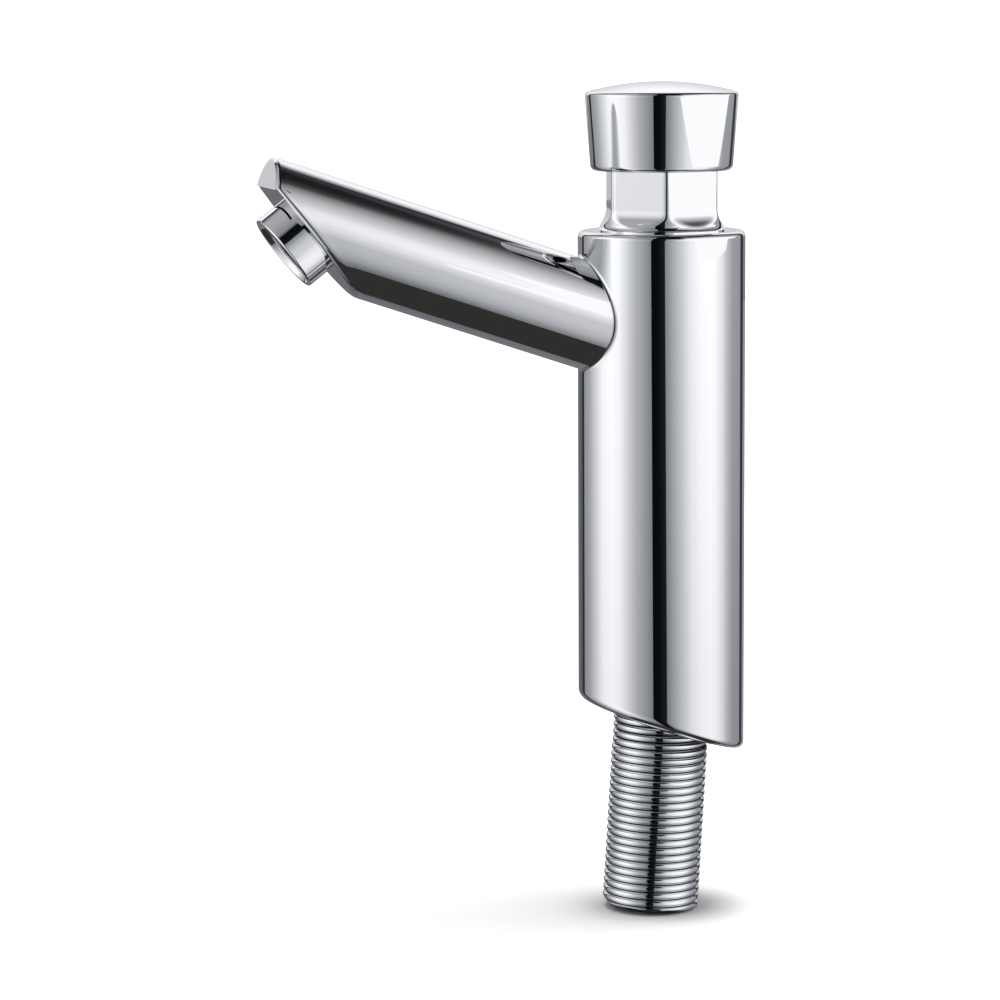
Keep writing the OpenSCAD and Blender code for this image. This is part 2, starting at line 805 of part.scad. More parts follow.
module return_spring() {
    points = [for (i = [0 : spring_rings], side = [0 : wire_sides - 1]) wire_corner(i, side)];
    sides = [for (i = [0 : spring_rings - 1], side = [0 : wire_sides - 1])
        let (
            next = (side + 1) % wire_sides,
            a = i * wire_sides + side,
            b = i * wire_sides + next,
            c = b + wire_sides,
            d = a + wire_sides)
        each [[a, b, c], [a, c, d]]];
    first_end = [for (side = [1 : wire_sides - 2]) [0, side + 1, side]];
    last = spring_rings * wire_sides;
    last_end = [for (side = [1 : wire_sides - 2]) [last, last + side, last + side + 1]];
    echo("least gap between the return spring's curls in millimetres", least_curl_gap());
    color(steel)
        polyhedron(points = points, faces = concat(sides, first_end, last_end), convexity = 10);
}

// The button is a hollow shell with a boss for the push rod under its dome
module button_cap() {
    base_r = button_base_d / 2;
    side_r = button_top_d / 2;
    taper = atan((side_r - base_r) / button_side_h);
    guide_r = neck_r + slide_gap;
    hollow_r = guide_r + hollow_relief;
    side_up = [sin(taper), cos(taper)];
    side_out = [cos(taper), -sin(taper)];
    base_edge_r = base_r + button_base_edge * (tan(taper) - 1 / cos(taper));
    // The dome is part of a ball, and the upper edge is a circle that touches it and the side
    dome_r = (pow(side_r, 2) + pow(dome_h, 2)) / (2 * dome_h);
    dome_centre = [0, button_side_z + dome_h - dome_r];
    corner = [side_r, button_side_z] - dome_centre - button_top_edge * side_out;
    along = corner * side_up;
    slip = sqrt(pow(along, 2) - corner * corner + pow(dome_r - button_top_edge, 2)) - along;
    edge_from_dome = corner + slip * side_up;
    dome_start = atan2(edge_from_dome[1], edge_from_dome[0]);
    dome_steps = 12;
    color(chrome)
        rotate_extrude($fn = round_fn)
            polygon(concat(
                arc([base_edge_r, button_base_z + button_base_edge], button_base_edge, -90, -taper),
                arc(dome_centre + edge_from_dome, button_top_edge, -taper, dome_start),
                [for (i = [1 : dome_steps - 1])
                    let (a = dome_start + (90 - dome_start) * i / dome_steps)
                    dome_centre + dome_r * [cos(a), sin(a)]],
                [[0, button_side_z + dome_h],
                [0, rod_top_z],
                [rod_r + seat_gap, rod_top_z],
                [rod_r + seat_gap, boss_base_z],
                [boss_d / 2, boss_base_z],
                [boss_d / 2, ceiling_z],
                [hollow_r, ceiling_z],
                [hollow_r, button_base_z + guide_h + hollow_relief],
                [guide_r, button_base_z + guide_h],
                [guide_r, button_base_z]]));
}

module rod_lock_nut() {
    color(brass)
        hex_nut(lock_nut_w, rod_r + seat_gap, lock_nut_z, boss_base_z);
}

module push_rod() {
    color(steel)
        union() {
            translate([0, 0, rod_bottom_z])
                cylinder(r = rod_tail_r, h = shoulder_z - rod_bottom_z, $fn = round_fn);
            translate([0, 0, shoulder_z])
                cylinder(r = rod_r, h = rod_top_z - shoulder_z, $fn = round_fn);
        }
}

module piston() {
    color(nylon)
        rotate_extrude($fn = round_fn)
            polygon([
                [rod_tail_r + seat_gap, piston_z],
                [timing_r - slide_gap, piston_z],
                [timing_r - slide_gap, seal_base_z],
                [hub_d / 2, seal_base_z],
                [hub_d / 2, hub_top_z],
                [rod_tail_r + seat_gap, hub_top_z]]);
}

module lip_seal() {
    inner_r = hub_d / 2 + seat_gap;
    outer_r = timing_r - slide_gap;
    lip_drop = 0.6;
    color(rubber)
        rotate_extrude($fn = round_fn)
            polygon([
                [inner_r, seal_base_z],
                [outer_r, seal_base_z],
                [outer_r, hub_top_z - lip_drop],
                [outer_r - lip_wall / 2, hub_top_z - lip_drop],
                [outer_r - lip_wall, hub_top_z - lip_groove],
                [inner_r + lip_wall, hub_top_z - lip_groove],
                [inner_r + lip_wall, hub_top_z],
                [inner_r, hub_top_z]]);
}

module piston_washer() {
    color(steel)
        ring(piston_washer_d / 2, rod_tail_r + seat_gap, hub_top_z, shoulder_z);
}

module valve_carrier() {
    inner_r = valve_washer_d / 2 + seat_gap;
    color(brass)
        rotate_extrude($fn = round_fn)
            polygon([
                [rod_tail_r + seat_gap, carrier_base_z],
                [inner_r + carrier_rim_w, carrier_base_z],
                [inner_r + carrier_rim_w, carrier_top_z + carrier_rim_h],
                [inner_r, carrier_top_z + carrier_rim_h],
                [inner_r, carrier_top_z],
                [rod_tail_r + seat_gap, carrier_top_z]]);
}

module valve_washer() {
    color(rubber)
        ring(valve_washer_d / 2, rod_tail_r + seat_gap, carrier_top_z, seat_lip_z);
}

module valve_nut() {
    color(brass)
        hex_nut(valve_nut_w, rod_tail_r + seat_gap, valve_nut_z, carrier_base_z);
}

tap_body();
spout();
shank();
base_seal();
inlet_strainer();
aerator_collar();
aerator_insert();
aerator_screen();
aerator_washer();
bonnet();
bonnet_ring_seal();
rod_guide_bush();
rod_seal();
seal_retainer();
cartridge_sleeve();
cartridge_ring_seal();
valve_seat();
spring_washer();
return_spring();
button_cap();
rod_lock_nut();
push_rod();
piston();
lip_seal();
piston_washer();
valve_carrier();
valve_washer();
valve_nut();
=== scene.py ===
"""Looks of a push timed basin tap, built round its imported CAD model.

The tap is polished chrome all over, so its looks come from smooth pieces with small rounded edges, a
right-hand thread on the shank, and a studio of large cards that the chrome mirrors. The pieces that show
chrome and the return spring are modelled here and replace their CAD nodes. The seals, the aerator, the
strainer and the rest of the inside stay as CAD nodes and get their own finishes.
"""

import json
import logging
import math
from dataclasses import dataclass
from enum import Enum
from functools import cache
from typing import Iterable, Sequence

import bmesh
import bpy
from bmesh.types import BMEdge, BMesh, BMVert
from bpy.types import Material, Node, NodeSocket, NodeTree, Object
from mathutils import Matrix, Vector

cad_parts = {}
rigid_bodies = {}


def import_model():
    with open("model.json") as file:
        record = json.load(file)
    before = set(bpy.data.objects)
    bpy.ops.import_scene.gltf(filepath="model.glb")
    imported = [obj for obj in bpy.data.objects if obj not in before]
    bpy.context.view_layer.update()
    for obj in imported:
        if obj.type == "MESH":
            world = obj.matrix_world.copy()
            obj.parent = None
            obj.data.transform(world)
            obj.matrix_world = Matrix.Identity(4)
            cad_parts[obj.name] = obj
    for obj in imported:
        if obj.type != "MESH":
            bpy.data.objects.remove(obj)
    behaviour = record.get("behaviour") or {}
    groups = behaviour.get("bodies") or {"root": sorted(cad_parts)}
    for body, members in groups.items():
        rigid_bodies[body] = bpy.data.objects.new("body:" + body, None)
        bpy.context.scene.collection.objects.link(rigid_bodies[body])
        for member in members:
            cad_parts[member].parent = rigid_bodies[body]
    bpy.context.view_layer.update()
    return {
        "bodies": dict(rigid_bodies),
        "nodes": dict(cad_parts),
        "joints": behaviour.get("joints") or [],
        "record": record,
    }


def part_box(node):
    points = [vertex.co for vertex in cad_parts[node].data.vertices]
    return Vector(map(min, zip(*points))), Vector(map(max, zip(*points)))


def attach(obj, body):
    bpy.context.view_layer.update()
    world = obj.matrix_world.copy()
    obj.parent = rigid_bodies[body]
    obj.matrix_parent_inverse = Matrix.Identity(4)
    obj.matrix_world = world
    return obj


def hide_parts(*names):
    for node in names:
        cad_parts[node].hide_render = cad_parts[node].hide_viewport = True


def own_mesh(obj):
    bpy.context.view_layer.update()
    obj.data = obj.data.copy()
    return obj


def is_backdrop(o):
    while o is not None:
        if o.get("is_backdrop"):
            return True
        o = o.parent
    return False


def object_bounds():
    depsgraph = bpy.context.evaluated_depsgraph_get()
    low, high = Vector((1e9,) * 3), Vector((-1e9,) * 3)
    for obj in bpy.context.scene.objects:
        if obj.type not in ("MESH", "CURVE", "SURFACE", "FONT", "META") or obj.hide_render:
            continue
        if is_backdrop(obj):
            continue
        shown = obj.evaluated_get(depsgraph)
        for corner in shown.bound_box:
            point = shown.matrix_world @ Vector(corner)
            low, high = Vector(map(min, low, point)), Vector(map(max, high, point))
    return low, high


log = logging.getLogger("tap")

MM = 0.001
# The shank's axis leans from Z towards X
SHANK_LEAN = math.radians(3.5)
# Points closer than this are one point
MERGE = 0.002 * MM
# Points closer than this to a cutting plane lie on it
ON_PLANE = MERGE / 10
# Edges that turn more sharply than this stay sharp
SHARP_ANGLE = math.radians(34)
# The sRGB curve is straight up to its knee, and above it a power of the shifted value
SRGB_KNEE = 0.04045
SRGB_SLOPE = 12.92
SRGB_SHIFT = 0.055
SRGB_POWER = 2.4
# A Mix node's colours have the same names as its numbers, so they go by their places
MIX_PART = 0
MIX_FROM = 6
MIX_TO = 7
MIX_COLOUR = 2


class Body(Enum):
    """The two moving bodies of the CAD model."""

    TAP = "tap"
    PLUNGER = "plunger"


class Slot(Enum):
    """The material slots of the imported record."""

    CHROME = "chrome"
    BRASS = "brass"
    STEEL = "steel"
    RUBBER = "rubber"
    NYLON = "nylon"


def linear(hex_colour: str) -> tuple[float, float, float, float]:
    """Turn an sRGB hex colour into the linear one that shader sockets take.

    Args:
        hex_colour: A leading mark and six hex digits.

    Returns:
        Red, green, blue and an alpha of 1.
    """
    channels = [int(hex_colour[i : i + 2], 16) / 255 for i in (1, 3, 5)]
    straightened = [
        c / SRGB_SLOPE if c <= SRGB_KNEE else ((c + SRGB_SHIFT) / (1 + SRGB_SHIFT)) ** SRGB_POWER
        for c in channels
    ]
    return (*straightened, 1.0)


def add_node(tree: NodeTree, kind: str, inputs: dict | None = None, **settings: object) -> Node:
    """Add a shader node with its settings, and set or link its inputs.

    Args:
        tree: The node tree to add to.
        kind: The node's type name after the ShaderNode that all begin with.
        inputs: Values by socket name or number. An output socket is linked, and so is a node's first output.
        settings: Properties of the node itself.

    Returns:
        The new node.
    """
    node = tree.nodes.new("ShaderNode" + kind)
    for name, value in settings.items():
        setattr(node, name, value)
    for socket, value in (inputs or {}).items():
        source = value.outputs[0] if isinstance(value, Node) else value
        if isinstance(source, NodeSocket):
            tree.links.new(source, node.inputs[socket])
        else:
            node.inputs[socket].default_value = source
    return node


def empty_material(name: str) -> tuple[Material, NodeTree]:
    """Make a material with an empty node tree.

    Args:
        name: The material's name.

    Returns:
        The new material and its node tree.
    """
    material = bpy.data.materials.new(name)
    material.use_nodes = True
    material.node_tree.nodes.clear()
    return material, material.node_tree


def set_surface(tree: NodeTree, shader: str, inputs: dict) -> None:
    """Give a material its surface.

    Args:
        tree: The material's node tree.
        shader: The type name of the surface's node.
        inputs: What that node is given, as in add_node.
    """
    add_node(tree, "OutputMaterial", {"Surface": add_node(tree, shader, inputs)})


def fine_relief(tree: NodeTree, place: NodeSocket, spacing: float, strength: float, depth: float) -> Node:
    """Roughen a surface with the marks that its making leaves.

    Args:
        tree: The material's node tree.
        place: The place on the piece.
        spacing: The spacing of the marks.
        strength: How much of them shows.
        depth: How deep they are.

    Returns:
        The node that gives the surface's normal.
    """
    grain = add_node(tree, "TexNoise", {"Vector": place, "Scale": 1 / spacing, "Detail": 2.0})
    return add_node(tree, "Bump", {"Height": grain, "Strength": strength, "Distance": depth})


@dataclass(frozen=True)
class MetalFinish:
    """A metal with a surface left by plating, turning or rolling."""

    name: str
    colour: str
    roughness: float
    # Spacing of the marks that the making leaves, and how much they show
    grain: float
    relief: float
    # How far roughness wanders over the surface, and how wide its patches are
    haze: float
    patch: float = 9 * MM
    mark_depth: float = 0.02 * MM

    def build(self) -> Material:
        """Make the material, with its haze and its fine relief from noise.

        Returns:
            The new material.
        """
        material, tree = empty_material(self.name)
        place = add_node(tree, "TexCoord").outputs["Object"]
        patches = add_node(tree, "TexNoise", {"Vector": place, "Scale": 1 / self.patch, "Detail": 3.0})
        # Noise hardly leaves the middle of its range
        middle = {"Value": patches, "From Min": 0.3, "From Max": 0.7}
        wandering = {"To Min": self.roughness, "To Max": self.roughness + self.haze}
        surface = {
            "Base Color": linear(self.colour),
            "Metallic": 1.0,
            "Roughness": add_node(tree, "MapRange", {**middle, **wandering}),
            "Normal": fine_relief(tree, place, self.grain, self.relief, self.mark_depth),
        }
        set_surface(tree, "BsdfPrincipled", surface)
        return material


@dataclass(frozen=True)
class ThreadFinish:
    """Plate on a thread, bright on the crests and dull down in the roots, whose colour is darkened with
    painted shade.
    """

    name: str
    crest_colour: str
    # The colour of the painted shade down in the roots
    painted_root_shade: str
    roughness: float
    root_roughness: float
    # Distances from the thread's axis at which the roots' painted shade and dullness end and the crest's look
    # begins
    root_r: float
    crest_r: float
    lean: float

    def build(self) -> Material:
        """Make the material, which depends on the distance from the thread's axis.

        Returns:
            The new material.
        """
        material, tree = empty_material(self.name)
        place = add_node(tree, "TexCoord").outputs["Object"]
        leaning = {"Vector": place, "Angle": -self.lean}
        upright = add_node(tree, "VectorRotate", leaning, rotation_type="Y_AXIS")
        flat = add_node(tree, "VectorMath", {0: upright, 1: (1, 1, 0)}, operation="MULTIPLY")
        reach = add_node(tree, "VectorMath", {0: flat}, operation="LENGTH").outputs["Value"]
        band = {"Value": reach, "From Min": self.root_r, "From Max": self.crest_r}
        height = add_node(tree, "MapRange", band)
        # Painted shade: the colour darkens from the crests down into the roots
        colours = {MIX_PART: height, MIX_FROM: linear(self.painted_root_shade), MIX_TO: linear(self.crest_colour)}
        dulling = {"Value": height, "To Min": self.root_roughness, "To Max": self.roughness}
        surface = {
            "Base Color": add_node(tree, "Mix", colours, data_type="RGBA").outputs[MIX_COLOUR],
            "Metallic": 1.0,
            "Roughness": add_node(tree, "MapRange", dulling),
        }
        set_surface(tree, "BsdfPrincipled", surface)
        return material


@dataclass(frozen=True)
class MouldedFinish:
    """A rubber or plastic with the fine grain of its mould."""

    name: str
    colour: str
    dusty_colour: str
    roughness: float
    # Spacing of the mould's grain, and how much it shows
    grain: float
    relief: float
    # How wide the patches of the bloom are
    patch: float = 4 * MM
    mark_depth: float = 0.03 * MM

    def build(self) -> Material:
        """Make the material, with a slight bloom and mould grain.

        Returns:
            The new material.
        """
        material, tree = empty_material(self.name)
        place = add_node(tree, "TexCoord").outputs["Object"]
        bloom = add_node(tree, "TexNoise", {"Vector": place, "Scale": 1 / self.patch, "Detail": 4.0})
        colours = {MIX_PART: bloom, MIX_FROM: linear(self.colour), MIX_TO: linear(self.dusty_colour)}
        surface = {
            "Base Color": add_node(tree, "Mix", colours, data_type="RGBA").outputs[MIX_COLOUR],
            "Roughness": self.roughness,
            "Normal": fine_relief(tree, place, self.grain, self.relief, self.mark_depth),
        }
        set_surface(tree, "BsdfPrincipled", surface)
        return material


# Bright nickel and chrome plate on polished brass: a mirror with a cold tint and hardly any haze
POLISHED_CHROME = MetalFinish("chrome plate, polished", "#f4f5f7", 0.025, 1.2 * MM, 0.004, 0.015)
# The same plate over a cut thread, with painted shade: its colour darkens, and its surface dulls, from the
# crests down into the roots
THREAD_CHROME = ThreadFinish(
    "chrome plate on a cut thread", "#eef0f2", "#303236", 0.04, 0.25, 9.80 * MM, 10.22 * MM, SHANK_LEAN
)
# Free-cutting brass straight from the lathe: warm yellow with a satin sheen
TURNED_BRASS = MetalFinish("brass, turned", "#d8b46a", 0.24, 0.15 * MM, 0.10, 0.10)
# Stainless steel, turned or rolled: grey with a soft sheen
TURNED_STEEL = MetalFinish("stainless steel, turned", "#b9bcc1", 0.26, 0.15 * MM, 0.10, 0.10)
# Nitrile rubber, compression moulded: near black, dull, with a faint bloom
MOULDED_RUBBER = MouldedFinish("nitrile rubber, moulded", "#1c1c1e", "#2a2a2c", 0.62, 0.12 * MM, 0.25)
# Acetal, injection moulded: milky white with a soft gloss
MOULDED_ACETAL = MouldedFinish("acetal, injection moulded", "#d9d9d4", "#cfcfca", 0.38, 0.10 * MM, 0.12)
# The same plastic, near black, for the aerator insert, which looks dark down in its collar
DARK_ACETAL = MouldedFinish("black acetal, injection moulded", "#202124", "#2a2b2e", 0.34, 0.10 * MM, 0.12)


@cache
def material_of(finish: MetalFinish | ThreadFinish | MouldedFinish) -> Material:
    """Give the material of a finish, which is made the first time that it is asked for."""
    return finish.build()


@dataclass(frozen=True)
class Corner:
    """A corner of a turned profile, with the width of the rounding cut back from it on each side."""

    radius: float
    height: float
    round_off: float = 0.0


def arc(centre: Sequence[float], radius: float, start: float, end: float, steps: int) -> list[Corner]:
    """Give the corners of a round stretch of a profile.

    Args:
        centre: The circle's centre, as radius and height.
        radius: The circle's radius.
        start: The first angle in degrees, from outwards towards up.
        end: The last angle in degrees.
        steps: The number of straight pieces.

    Returns:
        The corners from the first angle to the last.
    """
    turns = [math.radians(start + (end - start) * i / steps) for i in range(steps + 1)]
    return [Corner(centre[0] + radius * math.cos(a), centre[1] + radius * math.sin(a)) for a in turns]


def toward(turn: float, lift: float = 0.0) -> Vector:
    """Give the direction at a turn from X about Z and a lift above level, both in radians."""
    return Vector((math.cos(lift) * math.cos(turn), math.cos(lift) * math.sin(turn), math.sin(lift)))


def neighbours(items: list, closed: bool) -> list[tuple]:
    """Pair each item with the next one, and the last with the first where they close."""
    return list(zip(items, items[1:] + items[: int(closed)]))


def draw_line(bm: BMesh, points: Iterable[Sequence[float]], closed: bool = False) -> list[BMEdge]:
    """Draw a line of edges through some points.

    Args:
        bm: The mesh.
        points: The points in order.
        closed: True where the last point joins the first.

    Returns:
        The edges.
    """
    verts = [bm.verts.new(point) for point in points]
    return [bm.edges.new(pair) for pair in neighbours(verts, closed)]


def spin(bm: BMesh, angle: float, steps: int, climb: float = 0.0, whole: bool = False) -> None:
    """Sweep the line that a mesh holds round the Z axis.

    Args:
        bm: The mesh.
        angle: How far the line goes round.
        steps: The number of steps.
        climb: How far it rises with each step.
        whole: True where the last step ends on the line itself.
    """
    geom = bm.verts[:] + bm.edges[:]
    sweep = {"cent": (0, 0, 0), "axis": (0, 0, 1), "dvec": (0, 0, climb), "angle": angle, "steps": steps}
    bmesh.ops.spin(bm, geom=geom, use_merge=whole, use_duplicate=False, **sweep)


def round_edges(bm: BMesh, edges: Iterable[BMEdge], width: float, segments: int) -> None:
    """Round some edges.

    Args:
        bm: The mesh.
        edges: The edges to round.
        width: How far the rounding reaches back on each side.
        segments: The strips in the rounding.
    """
    bmesh.ops.bevel(
        bm,
        geom=list(edges),
        offset=width,
        offset_type="OFFSET",
        segments=segments,
        profile=0.5,
        affect="EDGES",
        clamp_overlap=False,
        material=-1,
    )


def turned(profile: Sequence[Corner], steps: int, closed: bool = True, segments: int = 6) -> BMesh:
    """Turn a profile about the Z axis, as on a lathe, and round the corners that ask for it.

    Args:
        profile: The corners in order, each with its radius and height.
        steps: The number of flats round the axis.
        closed: True where the last corner joins the first.
        segments: The strips in each rounding.

    Returns:
        The mesh, with its faces pointing outwards.
    """
    bm = bmesh.new()
    draw_line(bm, [(c.radius, 0.0, c.height) for c in profile], closed)
    spin(bm, math.tau, steps, whole=True)
    bmesh.ops.remove_doubles(bm, verts=bm.verts, dist=MERGE)
    bmesh.ops.recalc_face_normals(bm, faces=bm.faces)
    for corner in profile:
        if corner.round_off:
            ring = [e for e in bm.edges if all(at_corner(v, corner) for v in e.verts)]
            round_edges(bm, ring, corner.round_off, segments)
    return bm


def at_corner(vert: BMVert, corner: Corner) -> bool:
    """Tell whether a vertex lies on the ring that a profile's corner was turned into."""
    reach = math.hypot(vert.co.x, vert.co.y)
    return abs(reach - corner.radius) < MERGE and abs(vert.co.z - corner.height) < MERGE


def skin_rings(rings: Sequence[Sequence[Vector]], closed: bool) -> BMesh:
    """Join rings of points, each to the next, with a skin of quads.

    Args:
        rings: The rings, all with the same number of points.
        closed: True where the last ring joins the first; otherwise both are closed with a face.

    Returns:
        The mesh, with its faces pointing outwards.
    """
    bm = bmesh.new()
    loops = [draw_line(bm, ring, closed=True) for ring in rings]
    for low, high in neighbours(loops, closed):
        bmesh.ops.bridge_loops(bm, edges=low + high)
    if not closed:
        bmesh.ops.holes_fill(bm, edges=bm.edges, sides=0)
    bmesh.ops.recalc_face_normals(bm, faces=bm.faces)
    return bm


def trim(bm: BMesh, point: Sequence[float], normal: Sequence[float]) -> list[BMEdge]:
    """Cut a mesh off at a plane and leave the cut open.

    Args:
        bm: The mesh.
        point: A point on the plane.
        normal: The plane's normal, which points at what is cut off.

    Returns:
        The edges round the cut.
    """
    geom = bm.verts[:] + bm.edges[:] + bm.faces[:]
    cut = bmesh.ops.bisect_plane(
        bm, geom=geom, dist=ON_PLANE, plane_co=point, plane_no=normal, clear_outer=True, clear_inner=False
    )
    return [e for e in cut["geom_cut"] if isinstance(e, BMEdge) and e.is_boundary]


def add_object(bm: BMesh, name: str, material: Material | None = None) -> Object:
    """Turn a mesh into an object at the origin of the scene.

    Args:
        bm: The mesh, which is freed.
        name: The object's name.
        material: Its material, if it has one.

    Returns:
        The new object.
    """
    mesh = bpy.data.meshes.new(name)
    bm.to_mesh(mesh)
    bm.free()
    if material:
        mesh.materials.append(material)
    obj = bpy.data.objects.new(name, mesh)
    bpy.context.scene.collection.objects.link(obj)
    return obj


def add_piece(
    bm: BMesh,
    name: str,
    material: Material,
    node: str,
    body: Body = Body.TAP,
    weighted: bool = True,
) -> Object:
    """Let a mesh stand for a CAD node as a piece, smooth where it is round and sharp where it is not.

    Args:
        bm: The mesh, which is freed.
        name: The piece's name.
        material: Its material.
        node: The CAD node that it replaces.
        body: The body that it rides on.
        weighted: True where large faces keep their own normals beside small roundings.

    Returns:
        The new piece.
    """
    bmesh.ops.recalc_face_normals(bm, faces=bm.faces)
    for face in bm.faces:
        face.smooth = True
    for edge in bm.edges:
        edge.smooth = len(edge.link_faces) != 2 or edge.calc_face_angle(0.0) < SHARP_ANGLE
    obj = add_object(bm, name, material)
    if weighted:
        weigh = obj.modifiers.new("weighted normals", "WEIGHTED_NORMAL")
        weigh.mode = "FACE_AREA"
        weigh.weight = 100
        weigh.keep_sharp = True
    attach(obj, body.value)
    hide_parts(node)
    log.info("%s stands for %s with %d faces", obj.name, node, len(obj.data.polygons))
    return obj


def half_width(node: str) -> float:
    """Give half of a CAD node's width across the tap's plane of symmetry, which is its radius."""
    low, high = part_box(node)
    return (high.y - low.y) / 2


@dataclass
class TapBody:
    """The body tube with its oblique foot and rounded top edge."""

    finish: Material
    foot_angle: float = math.radians(18.7)
    top_edge: float = 1.2 * MM
    # The rounding is widest on the toe, where the foot meets the side at a blunt angle
    foot_edge: float = 2.0 * MM
    bore_r: float = 13.1 * MM
    bore_depth: float = 45 * MM
    steps: int = 224
    edge_strips: int = 8

    def build(self) -> None:
        """Turn the tube, cut its foot and round its edges."""
        low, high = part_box("tap_body")
        outer = half_width("tap_body")
        top = high.z
        # The tube is turned well past its foot, which is cut afterwards
        profile = [
            Corner(0, low.z - outer),
            Corner(outer, low.z - outer),
            Corner(outer, top, self.top_edge),
            Corner(self.bore_r, top),
            Corner(self.bore_r, top - self.bore_depth),
            Corner(0, top - self.bore_depth),
        ]
        bm = turned(profile, self.steps, closed=False, segments=self.edge_strips)
        rim = trim(bm, (0, 0, 0), (-math.sin(self.foot_angle), 0, -math.cos(self.foot_angle)))
        bmesh.ops.contextual_create(bm, geom=rim)
        round_edges(bm, rim, self.foot_edge, self.edge_strips)
        add_piece(bm, "body_tube", self.finish, "tap_body")


@dataclass
class Spout:
    """The spout tube, whose end has an oblique face for the aerator and a blunt nose above it."""

    finish: Material
    drop: float = 23.6 * MM
    rise: float = math.radians(18.7)
    reach: float = 85.2 * MM
    nose_over: float = 7 * MM
    nose_angle: float = math.radians(7)
    outlet_angle: float = math.radians(52.5)
    collar_offset: float = 4.0 * MM
    end_edge: float = 1.0 * MM
    end_strips: int = 5
    # Reach of the brazed and polished fillet between the spout and the body
    fillet: float = 0.7 * MM
    fillet_strips: int = 6
    # Depth of the fillet's edge below the body's surface, and where the tube ends before the body's axis
    root_depth: float = 0.3 * MM
    root_x: float = -13.5 * MM
    # The tube's skin is divided into short lengths, the last of them this far from the end faces
    lengths: int = 24
    last_length: float = 3 * MM
    socket_r: float = 7.9 * MM
    socket_depth: float = 7 * MM
    socket_steps: int = 96
    steps: int = 224
    # Drilling moves points by less than this
    skin_gap: float = 5 * MERGE

    def along_spout(self) -> Matrix:
        """Give the frame whose Z axis runs up the spout from the body's axis."""
        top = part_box("tap_body")[1].z
        return Matrix.Translation((0, 0, top - self.drop)) @ Matrix.Rotation(self.rise - math.pi / 2, 4, "Y")

    def at_outlet(self) -> Matrix:
        """Give the frame on the middle of the end face, with its Z axis along the leaving water."""
        turn = Matrix.Rotation(3 * math.pi / 2 + self.outlet_angle - self.rise, 4, "Y")
        return self.along_spout() @ Matrix.Translation((0, 0, self.reach)) @ turn

    def at_nose(self) -> Matrix:
        """Give the frame on the nose, with its Z axis pointing out of it."""
        turn = Matrix.Rotation(-self.nose_angle, 4, "Y")
        return self.along_spout() @ Matrix.Translation((0, 0, self.reach + self.nose_over)) @ turn

    def at_aerator(self) -> Matrix:
        """Give the frame on the middle of the aerator, with its Z axis along the leaving water."""
        return self.at_outlet() @ Matrix.Translation((-self.collar_offset, 0, 0))

    def build(self) -> None:
        """Make the tube, fit its root to the body, cut both end faces and round their rims."""
        radius = half_width("spout")
        ends = (self.at_outlet(), self.at_nose())
        bm = skin_rings(self.rings(radius, ends), closed=False)
        for end in ends:
            bmesh.ops.contextual_create(bm, geom=trim(bm, end.translation, end.col[2].xyz))
        drill = bmesh.new()
        bore = {"radius1": self.socket_r, "radius2": self.socket_r, "depth": 2 * self.socket_depth}
        place = self.at_aerator()
        bmesh.ops.create_cone(drill, cap_ends=True, segments=self.socket_steps, matrix=place, **bore)
        drilled = cut_away(bm, drill)
        into_ends = [end.inverted() for end in ends]
        into_tube = self.along_spout().inverted()
        rim = [e for e in drilled.edges if self.is_rim(e, into_ends, into_tube, radius)]
        round_edges(drilled, rim, self.end_edge, self.end_strips)
        add_piece(drilled, "spout_tube", self.finish, "spout")

    def rings(self, radius: float, ends: Sequence[Matrix]) -> list[list[Vector]]:
        """Give the rings of the tube, from inside the body, over the fillet and out past the nose.

        Args:
            radius: The tube's radius.
            ends: The frames of both end faces.

        Returns:
            The rings, each with one point for every line along the tube.
        """
        frame = self.along_spout()
        axis = frame.col[2].xyz
        body_r = half_width("tap_body")
        lines = []
        for i in range(self.steps):
            start = frame @ (toward(math.tau * i / self.steps) * radius)
            outward = (start - frame.translation).normalized()
            # The line along the tube meets the body's surface where a quadratic in its length is nought
            a = axis.x**2 + axis.y**2
            b = 2 * (start.x * axis.x + start.y * axis.y)
            c = start.x**2 + start.y**2 - body_r**2
            meet = start + axis * (-b + math.sqrt(b * b - 4 * a * c)) / (2 * a)
            facing = Vector((meet.x, meet.y, 0)).normalized()
            along_body = (outward - facing * outward.dot(facing)).normalized()
            on_body = meet + along_body * self.fillet
            on_body -= facing * (math.hypot(on_body.x, on_body.y) - body_r)
            on_spout = meet + axis * self.fillet
            root = start + axis * (self.root_x - start.x) / axis.x
            line = [root, on_body - facing * self.root_depth]
            for part in (j / self.fillet_strips for j in range(self.fillet_strips + 1)):
                line.append(on_body * (1 - part) ** 2 + meet * 2 * part * (1 - part) + on_spout * part**2)
            # The lengths end parallel to the end faces, so that no ring crosses their rims
            ways_out = [(end.translation, end.col[2].xyz) for end in ends]
            room = min((middle - start).dot(normal) / axis.dot(normal) for middle, normal in ways_out)
            near_end = start + axis * (room - self.last_length)
            line += [on_spout.lerp(near_end, j / self.lengths) for j in range(1, self.lengths + 1)]
            line.append(start + axis * 2 * self.reach)
            lines.append(line)
        return [list(ring) for ring in zip(*lines)]

    def is_rim(self, edge: BMEdge, into_ends: Sequence[Matrix], into_tube: Matrix, radius: float) -> bool:
        """Tell whether an edge lies on the outer rim of an end face, and not between the two end faces.

        Args:
            edge: The edge.
            into_ends: The ways into the frames of both end faces.
            into_tube: The way into the tube's own frame.
            radius: The tube's radius.

        Returns:
            True for an edge that is to be rounded.
        """
        flat = [all(abs((end @ v.co).z) < MERGE for v in edge.verts) for end in into_ends]
        local = [into_tube @ v.co for v in edge.verts]
        outside = all(abs(math.hypot(p.x, p.y) - radius) < self.skin_gap for p in local)
        return any(flat) and not all(flat) and outside


